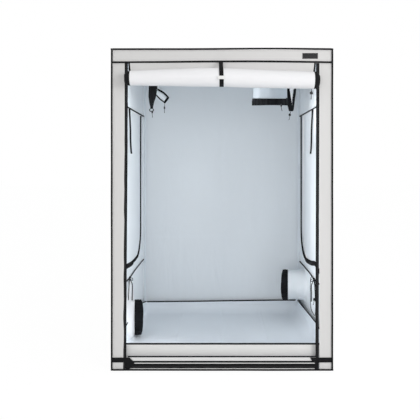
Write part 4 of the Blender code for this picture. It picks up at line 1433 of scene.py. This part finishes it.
class TENT_OT_ports(bpy.types.Operator):
    """Make the duct sleeves, the vent and their drawn cuffs"""

    bl_idname = "tent.ports"
    bl_label = "Duct sleeves"

    def execute(self, context):
        self.roof_sleeve()
        self.left_sleeve()
        self.right_sleeve()
        self.vent()
        return {"FINISHED"}

    def roof_sleeve(self):
        low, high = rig.box("roof_sleeve")
        centre = (low + high) / 2
        mouth = 1.948

        def ring(z, reach, tilt=0.11, shift=0.011):
            return Vector((centre.x - shift, centre.y, z)), RIGHT * reach, Vector((0, 1, tilt)) * reach

        gathered_tube("roof_duct_sleeve",
                      [ring(high.z, PORT_RADIUS, 0, 0), ring(2.1, PORT_RADIUS * 0.94, 0.05),
                       ring(mouth, PORT_RADIUS * 0.95, shift=0.013)],
                      SLEEVE_CLOTH, ["sleeve_cloth"], 5, lambda s: 0.022 * s, (120, 30),
                      (high.z - mouth, PORT_RADIUS), "white_lining", ["roof_cloth"], ["roof_sleeve"])
        cuff("roof_duct_cuff", [ring(1.944, PORT_RADIUS * 0.985), ring(1.919, PORT_RADIUS * 1.008),
                                ring(1.891, PORT_RADIUS)],
             21, lambda s: 0.01 + 0.014 * s, 14, (0.052, PORT_RADIUS), ["roof_duct_sleeve"], (0, 0, -0.004))
        cord_lock("roof_cord_lock", (0.4705, centre.y - 0.15, 1.872), 0.006)

    def left_sleeve(self):
        """The sleeve slumps over the tray's wall and spreads where it lies."""
        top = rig.box("left_sleeve")[1].z - 0.1466
        fall = 0.1535
        across = Vector((-0.131, 0.991, 0))

        def ring(x, z, wide, tall, axis=BACK, y=0.0):
            return Vector((x, y, z)), axis * wide, UP * tall

        gathered_tube("left_duct_sleeve",
                      [ring(-0.7495, top, PORT_RADIUS, PORT_RADIUS),
                       ring(-0.746, top - 0.02, 0.185, PORT_RADIUS, y=-0.04),
                       ring(-0.737, 0.228, 0.235, 0.143, y=-0.1),
                       ring(-0.732, 0.168, 0.245, 0.143, y=-0.12),
                       ring(-0.724, fall, 0.19, 0.14, across, -0.05),
                       ring(-0.715, fall, 0.1405, 0.139, across)],
                      SLEEVE_CLOTH, ["white_cloth"], 7, lambda s: 0.012 * math.sin(math.pi * s), (120, 40),
                      (0.034 + top - fall, PORT_RADIUS), "white_lining", ["left_cloth", "tray_floor"],
                      ["left_sleeve"])
        cuff("left_duct_cuff", [ring(-0.7145, fall, 0.14, 0.14, across),
                                ring(-0.689, fall, 0.14, 0.14, across),
                                ring(-0.664, fall, 0.1385, 0.138, across)],
             22, lambda s: 0.003 + 0.014 * s, 16, (0.06, 0.1415), ["left_duct_sleeve", "tray_floor"],
             (0.02, 0, 0))

    def right_sleeve(self):
        low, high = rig.box("right_sleeve")
        centre = (low + high) / 2

        def ring(x, rise, reach, axis=Vector((0.118, 0.993, 0))):
            return Vector((x, centre.y, centre.z + rise)), axis * reach, UP * reach

        gathered_tube("right_duct_sleeve",
                      [ring(0.7495, 0, PORT_RADIUS, BACK), ring(0.728, 0.014, 0.134, BACK),
                       ring(0.67, 0.02, 0.129), ring(0.598, 0.017, 0.133)],
                      SLEEVE_CLOTH, ["lining"], 6, lambda s: 0.02 * s, (120, 24), (0.152, PORT_RADIUS),
                      "white_lining", ["right_cloth"], ["right_sleeve"])
        cuff("right_duct_cuff", [ring(0.5965, 0.016, 0.134), ring(0.574, 0.017, 0.1345),
                                 ring(0.551, 0.0175, 0.131)],
             20, lambda s: 0.004 + 0.018 * s, 16, (0.046, 0.1345), ["right_duct_sleeve"], (-0.017, 0, 0))

    def vent(self):
        """A flap over the low vent, with a corded rim and the cord lock that draws it up."""
        low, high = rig.box("vent_cover")
        centre = (low + high) / 2
        outer = (high.z - low.z) / 2

        def rim_point(turn, reach, stand):
            """A point on the flap's rounded square, which hangs towards the front."""
            scale = (abs(math.cos(turn)) ** 4 + abs(math.sin(turn)) ** 4) ** -0.25 * reach
            return Vector((high.x - stand, centre.y - 0.04 + 0.128 * scale * math.cos(turn),
                           centre.z + 0.012 + 0.142 * scale * math.sin(turn)))

        def backing(turn_share, share):
            turn = turn_share * 2 * math.pi
            reach = outer * (0.004 + 0.97 * share)
            return Vector((high.x - 0.0016 - 0.002 * (1 - share ** 2), centre.y + reach * math.cos(turn),
                           centre.z + reach * math.sin(turn)))

        def cover(turn_share, share):
            turn = turn_share * 2 * math.pi
            lift = 0.006 * (1 - share ** 2) + 0.0014 * math.cos(9 * turn) * share * (1 - share) * 4
            return rim_point(turn, 0.006 + 0.99 * share, 0.006 + lift)

        parts = [thicken(wrap_grid(96, 20, shape), 0.0009) for shape in (backing, cover)]
        disc = paint(join("vent_cloth", parts), "lining")
        mount(soften(disc, 60), "vent_cloth", slot="white_lining", nodes=["vent_cover"])
        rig.sheet(disc, flat=(outer * 1.95, outer * 1.95), held="stretched", rests_on=["right_cloth"])
        rim = [rim_point(step * math.pi / 48, 1, 0.01) for step in range(96)]
        trim(tube(rim, 0.0024, closed=True), "vent_rim", "black_cloth")
        cord_lock("vent_cord_lock", (high.x - 0.018, centre.y - 0.14, centre.z + 0.006), -0.004)


class TENT_OT_cable_ports(bpy.types.Operator):
    """Make the small roof sleeves for cables, with their drawcords and ties"""

    bl_idname = "tent.cable_ports"
    bl_label = "Cable ports"

    def execute(self, context):
        for name, side in SIDES:
            self.sock(name, side)
        self.collar()
        self.seam_cords()
        self.ribbons(context.scene.tent_trim.ribbon_width)
        return {"FINISHED"}

    def sock(self, name, side):
        """A drawn-in cable sleeve. The right one shows its pale inside where it hangs open."""
        low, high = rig.box(f"cable_sock_{name}")
        middle = (low + high) / 2
        top = (high.x - low.x) / 2 - 0.0006
        # share of the length, radius, shift to the right
        if side < 0:
            shape = ((0.0, top, 0), (0.2, 0.045, 0.001), (0.447, 0.033, 0.0005), (0.708, 0.0295, -0.007),
                     (0.85, 0.0195, -0.0115), (0.94, 0.013, -0.011), (1.0, 0.0085, -0.0105))
        else:
            shape = ((0.0, top, 0), (0.2, 0.052, -0.012), (0.4126, 0.047, -0.021), (0.65, 0.0385, -0.019),
                     (0.85, 0.028, -0.014), (0.96, 0.0225, -0.012), (1.0, 0.0165, -0.0115))
        rings = []
        for share, radius, shift in shape:
            centre = Vector((middle.x + shift, middle.y, high.z - share * (high.z - low.z)))
            rings.append((share, (centre, RIGHT * radius, BACK * radius * 0.9)))
        stations = []
        for step in range(25):
            share = step / 24
            index = max(i for i in range(len(rings) - 1) if rings[i][0] <= share)
            (start, first), (end, second) = rings[index], rings[index + 1]
            t = (share - start) / (end - start)
            stations.append(tuple(one.lerp(two, t) for one, two in zip(first, second)))
        piece = gathered_tube(f"cable_sock_cloth_{name}", stations, 0.0018, ["black_cloth", "white_cloth"], 7,
                              lambda s: 0.02 + 0.1 * math.sin(math.pi * min(s, 0.9)), (112, 60),
                              (high.z - low.z, 0.043), "black_trim", ["roof_cloth"], [f"cable_sock_{name}"])
        end, reach = stations[-1][0], stations[-1][1].x + 0.0025
        turns = [step * math.pi / 12 for step in range(48)]
        wrap = tube([end + UP * 0.008 + Vector((reach * math.cos(turn), reach * math.sin(turn),
                                                0.001 * turn / math.pi)) for turn in turns], 0.0018)
        trim(wrap, f"sock_tie_{name}")
        if side < 0:
            self.left_loop(end)
        else:
            self.open_side(piece, stations, low, high)
            self.right_lead(end)

    def left_loop(self, end):
        """The left sock's cord: a loop at its end, and the lock below."""
        turns = [step * math.pi / 16 for step in range(32)]
        loop = tube([end + Vector((0.0165 * math.cos(turn), -0.003, -0.012 + 0.0125 * math.sin(turn)))
                     for turn in turns], 0.0034, closed=True)
        trim(loop, "sock_loop_left")
        cord_lock("sock_lock_left", end + Vector((0.005, -0.004, -0.03)), 0.002, wide=0.0062)

    def right_lead(self, end):
        """The right sock's cord: a short lead to the lock below."""
        lock = Vector((0.5835, end.y - 0.012, 1.828))
        cord_lock("sock_lock_right", lock, -0.006, wide=0.0095)
        drop = smooth_path([end + UP * 0.004, end + Vector((-0.008, -0.006, -0.018)), lock + UP * 0.01], 6)
        hang_cord("sock_lead_right", drop, 0.0018)

    def open_side(self, piece, stations, low, high):
        """Paint the sock's front white where it gapes, less and less towards its lower end."""
        middle_y = (low.y + high.y) / 2
        for polygon in piece.data.polygons:
            share = (high.z - polygon.center.z) / (high.z - low.z)
            centre, one, _ = stations[min(int(share * 24), 23)]
            gap = one.x * 0.36 * (1 - ease((share - 0.42) / 0.45))
            shows = polygon.center.y < middle_y and abs(polygon.center.x - centre.x - 0.0085) < gap
            polygon.material_index = int(shows)

    def collar(self):
        """An open cable sleeve that kinks aside, with piping down both sides and round its mouth."""
        low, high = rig.box("cable_collar")
        radius = (high.y - low.y) / 2 - 0.0008
        x = low.x + radius + 0.0016
        y = (low.y + high.y) / 2
        sight = Vector((-0.0985, 0.989, 0.1105)) * 0.055
        flat = BACK * 0.05
        stations = [(Vector((x, y, high.z)), RIGHT * radius, BACK * radius),
                    (Vector((x - 0.02, y, 2.135)), Vector((0.03, 0, 0.004)), flat),
                    (Vector((x - 0.046, y - 0.004, 2.085)), Vector((0.017, 0, 0.008)), flat),
                    (Vector((-0.554, y - 0.008, 2.019)), Vector((0.003, 0, 0.0225)), sight),
                    (Vector((-0.5136, y - 0.012, 1.9879)), Vector((0.014, 0, 0.024)), sight),
                    (Vector((-0.473, y - 0.016, 1.9525)), Vector((0.014, 0, 0.0195)), sight)]
        gathered_tube("open_collar_cloth", stations, 0.0013, ["lining"], 4,
                      lambda s: 0.02 * math.sin(math.pi * s), (72, 40), (0.27, radius), "white_lining",
                      ["roof_cloth"], ["cable_collar"])
        centre, one, two = stations[-1]
        turns = [step * math.pi / 24 for step in range(48)]
        parts = [tube([centre + one * math.cos(turn) + two * math.sin(turn) for turn in turns], 0.0098,
                      closed=True)]
        for way in (-1, 1):
            run = smooth_path([spot + side * way * 1.04 - BACK * 0.02 for spot, side, _ in stations[3:]], 6)
            parts.append(tube(run, 0.0078 + 0.0012 * way))
        trim(join("open_collar_hem", parts), "open_collar_hem")
        foot = centre - one - UP * 0.004
        drop = smooth_path([foot, foot + Vector((0, -0.004, -0.02)),
                            foot + Vector((-0.002, -0.006, -0.036))])
        hang_cord("collar_lead", drop, 0.0016)
        cord_lock("collar_lock", drop[-1] - UP * 0.009, 0.0, wide=0.006)

    def seam_cords(self):
        """A drawcord along each side wall below its door, with a bow in it."""
        front = 0.502
        for name, side in SIDES:
            back = 0.498 if side < 0 else 0.477
            run = []
            for step in range(61):
                share = step / 60
                stand = 0.001 * ripple(share * 12, side, 1)
                run.append(Vector((side * CORD_X - side * stand, -0.735 + 1.475 * share,
                                   front + (back - front) * share - 0.01 * bump_at(share, 0.45, 0.12))))
            hang_cord(f"wall_cord_{name}", run, 0.0048, lay="taut")
            self.bow(name, side, run[27])
        self.hanging_lock()

    def bow(self, name, side, spot):
        """The bow's knot and loops, and its ends that hang down to the sleeve."""
        inward = -RIGHT * side
        turns = []
        for step in range(40):
            turn = step * 2 * math.pi * 2 / 40
            turns.append(spot + inward * (0.0065 * math.cos(turn)) + UP * (0.007 * math.sin(turn))
                         + BACK * (step / 40 - 0.5) * 0.014)
        parts = [tube(turns, 0.003)]
        for reach, fall, deep in ((0.021, 0.024, 0.01), (0.004, 0.034, -0.05)):
            bends = ((0, 0, 0), (1, 0.3, 1), (0.9, 1, 1.2), (0.3, 0.6, 0.6), (0, 0, 0))
            loop = [spot + inward * reach * aside - UP * fall * down + BACK * deep * behind
                    for aside, down, behind in bends]
            parts.append(tube(smooth_path(loop, 6), 0.0026))
        trim(join(f"wall_cord_bow_{name}", parts), f"wall_cord_bow_{name}")
        for end_name, shift, stand, fall, radius in (("near", -0.125, 0.012, 0.15, 0.0032),
                                                     ("far", 0.004, 0.0195, 0.183, 0.004)):
            bends = ((0.5, 0.5, -0.028), (1, 0.9, -0.058), (1, 1, -fall * 0.7), (0.95, 1, -fall))
            bent = [spot + Vector((-side * stand * aside, shift * behind, drop))
                    for aside, behind, drop in bends]
            points = smooth_path([spot - UP * 0.004] + bent)
            hang_cord(f"wall_cord_end_{end_name}_{name}", points, radius, far_end="bare")

    def hanging_lock(self):
        """A drawcord that hangs from the front top bar, with its lock."""
        points = smooth_path([(0.612, -0.728, 2.128), (0.613, -0.724, 2.05), (0.618, -0.722, 1.96),
                              (0.616, -0.722, 1.908)])
        hang_cord("header_cord", points, 0.0019)
        cord_lock("header_cord_lock", points[-1] - UP * 0.009, -0.003, wide=0.011)

    def ribbons(self, width):
        """The ribbons that tie a side door up, hanging from the seam above it."""
        length = 0.36
        for name, side in SIDES:
            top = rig.box(f"side_door_{name}")[1].z + 0.004
            x = -0.7415 if side < 0 else 0.739

            def hang(across, run):
                drift = 0.004 * math.sin(run * 6) * run + 0.017 * run ** 1.2
                turn = 0.15 + 0.35 * math.sin(run * 5.2)
                aside = (across - 0.5) * width
                return Vector((x - side * (drift + aside * math.cos(turn)),
                               side * 0.035 - 0.06 + aside * math.sin(turn), top - length * run))

            piece = wrap_grid(6, 48, hang, closed=False)
            thicken(piece, 0.0008)
            trim(piece, f"tie_ribbon_{name}", "black_cloth", angle=40)
            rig.sheet(piece, flat=(width, length), held="hung", rests_on=[f"{name}_cloth"])


class TENT_OT_stage(bpy.types.Operator):
    """Make the floor, the lights and the camera"""

    bl_idname = "tent.stage"
    bl_label = "Stage"

    def execute(self, context):
        self.floor()
        self.lights()
        self.camera(context.scene.tent_stage)
        return {"FINISHED"}

    def floor(self):
        """A pale floor that shows nearly white to the camera and keeps the object's shadow."""
        ground = create(bpy.ops.mesh.primitive_plane_add, size=60, location=(0, 0, -0.0006))
        ground.name = "studio_floor"
        settle(ground)
        material = bpy.data.materials.new("studio_floor")
        material.use_nodes = True
        tree = material.node_tree
        shader = tree.nodes["Principled BSDF"]
        feed(tree, shader, {"Base Color": (0.88, 0.88, 0.88, 1), "Roughness": 0.9})
        glow = node(tree, "Emission", {"Strength": 1.04})
        seen = sum_of(tree, "MULTIPLY", node(tree, "LightPath").outputs["Is Camera Ray"], 0.9)
        mixed = node(tree, "MixShader", {0: seen, 1: shader.outputs[0], 2: glow.outputs[0]})
        feed(tree, tree.nodes["Material Output"], {"Surface": mixed.outputs[0]})
        ground.data.materials.append(material)
        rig.stage(ground)

    def lights(self):
        self.world()
        for name, place, target, size, power, spread in (
                ("front_softbox", (3.3, -4.4, 2.4), (0.1, -0.7, 1.1), (2.0, 2.0), 75, 180),
                ("fill_softbox", (-1.6, -7.0, 1.6), (0, 0, 0.9), (2.4, 2.4), 32, 180),
                ("left_panel", (-0.02, -0.3, 1.2), (-1, -0.28, 1.2), (0.5, 1.8), 1.35, 110),
                ("right_panel", (0.02, -0.2, 1.2), (1, -0.16, 1.3), (0.5, 1.8), 3.35, 110),
                ("upper_left_panel", (-0.5, -0.45, 1.72), (-1, 0.2, 2.02), (0.2, 0.2), 0.55, 100),
                ("upper_right_panel", (0.52, -0.3, 1.72), (1, 0.2, 2.0), (0.2, 0.2), 0.32, 80),
                ("doorway_panel", (0, -0.68, 1.05), (0, 1, 0.74), (1.2, 1.6), 0.87, 180),
                ("floor_panel_right", (0.34, -0.25, 0.45), (0.62, 0.45, 0.05), (0.3, 0.3), 0.28, 120),
                ("floor_panel_left", (-0.3, -0.45, 0.42), (-0.5, -0.56, 0.02), (0.3, 0.2), 0.8, 120)):
            lamp = create(bpy.ops.object.light_add, type="AREA", location=place)
            lamp.name = name
            lamp.data.shape = "RECTANGLE"
            lamp.data.size, lamp.data.size_y = size
            lamp.data.energy = power
            lamp.data.spread = math.radians(spread)
            lamp.visible_camera = False
            lamp.rotation_mode = "QUATERNION"
            lamp.rotation_quaternion = (Vector(target) - Vector(place)).to_track_quat("-Z", "Y")

    def world(self):
        """An even surround, which the camera sees as white."""
        world = bpy.data.worlds.new("studio")
        bpy.context.scene.world = world
        world.use_nodes = True
        tree = world.node_tree
        white = (1, 1, 1, 1)
        plain = tree.nodes["Background"]
        feed(tree, plain, {"Color": white, "Strength": 0.68})
        seen = node(tree, "Background", {"Color": white, "Strength": 1.0})
        camera_ray = node(tree, "LightPath").outputs["Is Camera Ray"]
        mixed = node(tree, "MixShader", {0: camera_ray, 1: plain.outputs[0], 2: seen.outputs[0]})
        feed(tree, tree.nodes["World Output"], {"Surface": mixed.outputs[0]})

    def camera(self, settings):
        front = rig.box("front_header")[0].y
        camera = create(bpy.ops.object.camera_add, rotation=(math.pi / 2, 0, 0),
                        location=(-0.007, front - settings.distance, settings.height))
        camera.data.lens = settings.focal_length
        camera.data.sensor_width = 36
        camera.data.shift_x = -0.0262
        camera.data.shift_y = -0.1152
        bpy.context.scene.camera = camera
        bpy.context.scene.view_settings.view_transform = "Standard"


class TENT_PT_panel(bpy.types.Panel):
    bl_idname = "TENT_PT_panel"
    bl_label = "Grow tent"
    bl_space_type = "VIEW_3D"
    bl_region_type = "UI"
    bl_category = "Grow tent"

    def draw(self, context):
        layout = self.layout
        scene = context.scene
        for settings, names in ((scene.tent_cloth, ("canvas", "lining", "white", "black", "slack")),
                                (scene.tent_trim, ("tooth_pitch", "cord_diameter", "ribbon_width")),
                                (scene.tent_stage, ("focal_length", "distance", "height"))):
            for name in names:
                layout.prop(settings, name)
        for operator in STEPS:
            layout.operator(operator.bl_idname)


STEPS = (TENT_OT_materials, TENT_OT_frame, TENT_OT_cover, TENT_OT_front, TENT_OT_zips, TENT_OT_piping,
         TENT_OT_door, TENT_OT_side_doors, TENT_OT_tray, TENT_OT_ports, TENT_OT_cable_ports,
         TENT_OT_stage)
CLASSES = (ClothSettings, TrimSettings, StageSettings, *STEPS, TENT_PT_panel)


def register():
    for item in CLASSES:
        bpy.utils.register_class(item)
    bpy.types.Scene.tent_cloth = bpy.props.PointerProperty(type=ClothSettings)
    bpy.types.Scene.tent_trim = bpy.props.PointerProperty(type=TrimSettings)
    bpy.types.Scene.tent_stage = bpy.props.PointerProperty(type=StageSettings)


def unregister():
    del bpy.types.Scene.tent_stage
    del bpy.types.Scene.tent_trim
    del bpy.types.Scene.tent_cloth
    for item in reversed(CLASSES):
        bpy.utils.unregister_class(item)


def main():
    register()
    cad_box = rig.bounds()
    for operator in STEPS:
        group, name = operator.bl_idname.split(".")
        getattr(getattr(bpy.ops, group), name)()
    seen_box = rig.bounds()
    with open("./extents.json", "w") as file:
        json.dump({"cad": [list(corner) for corner in cad_box],
                   "seen": [list(corner) for corner in seen_box]}, file)


if __name__ == "__main__":
    main()
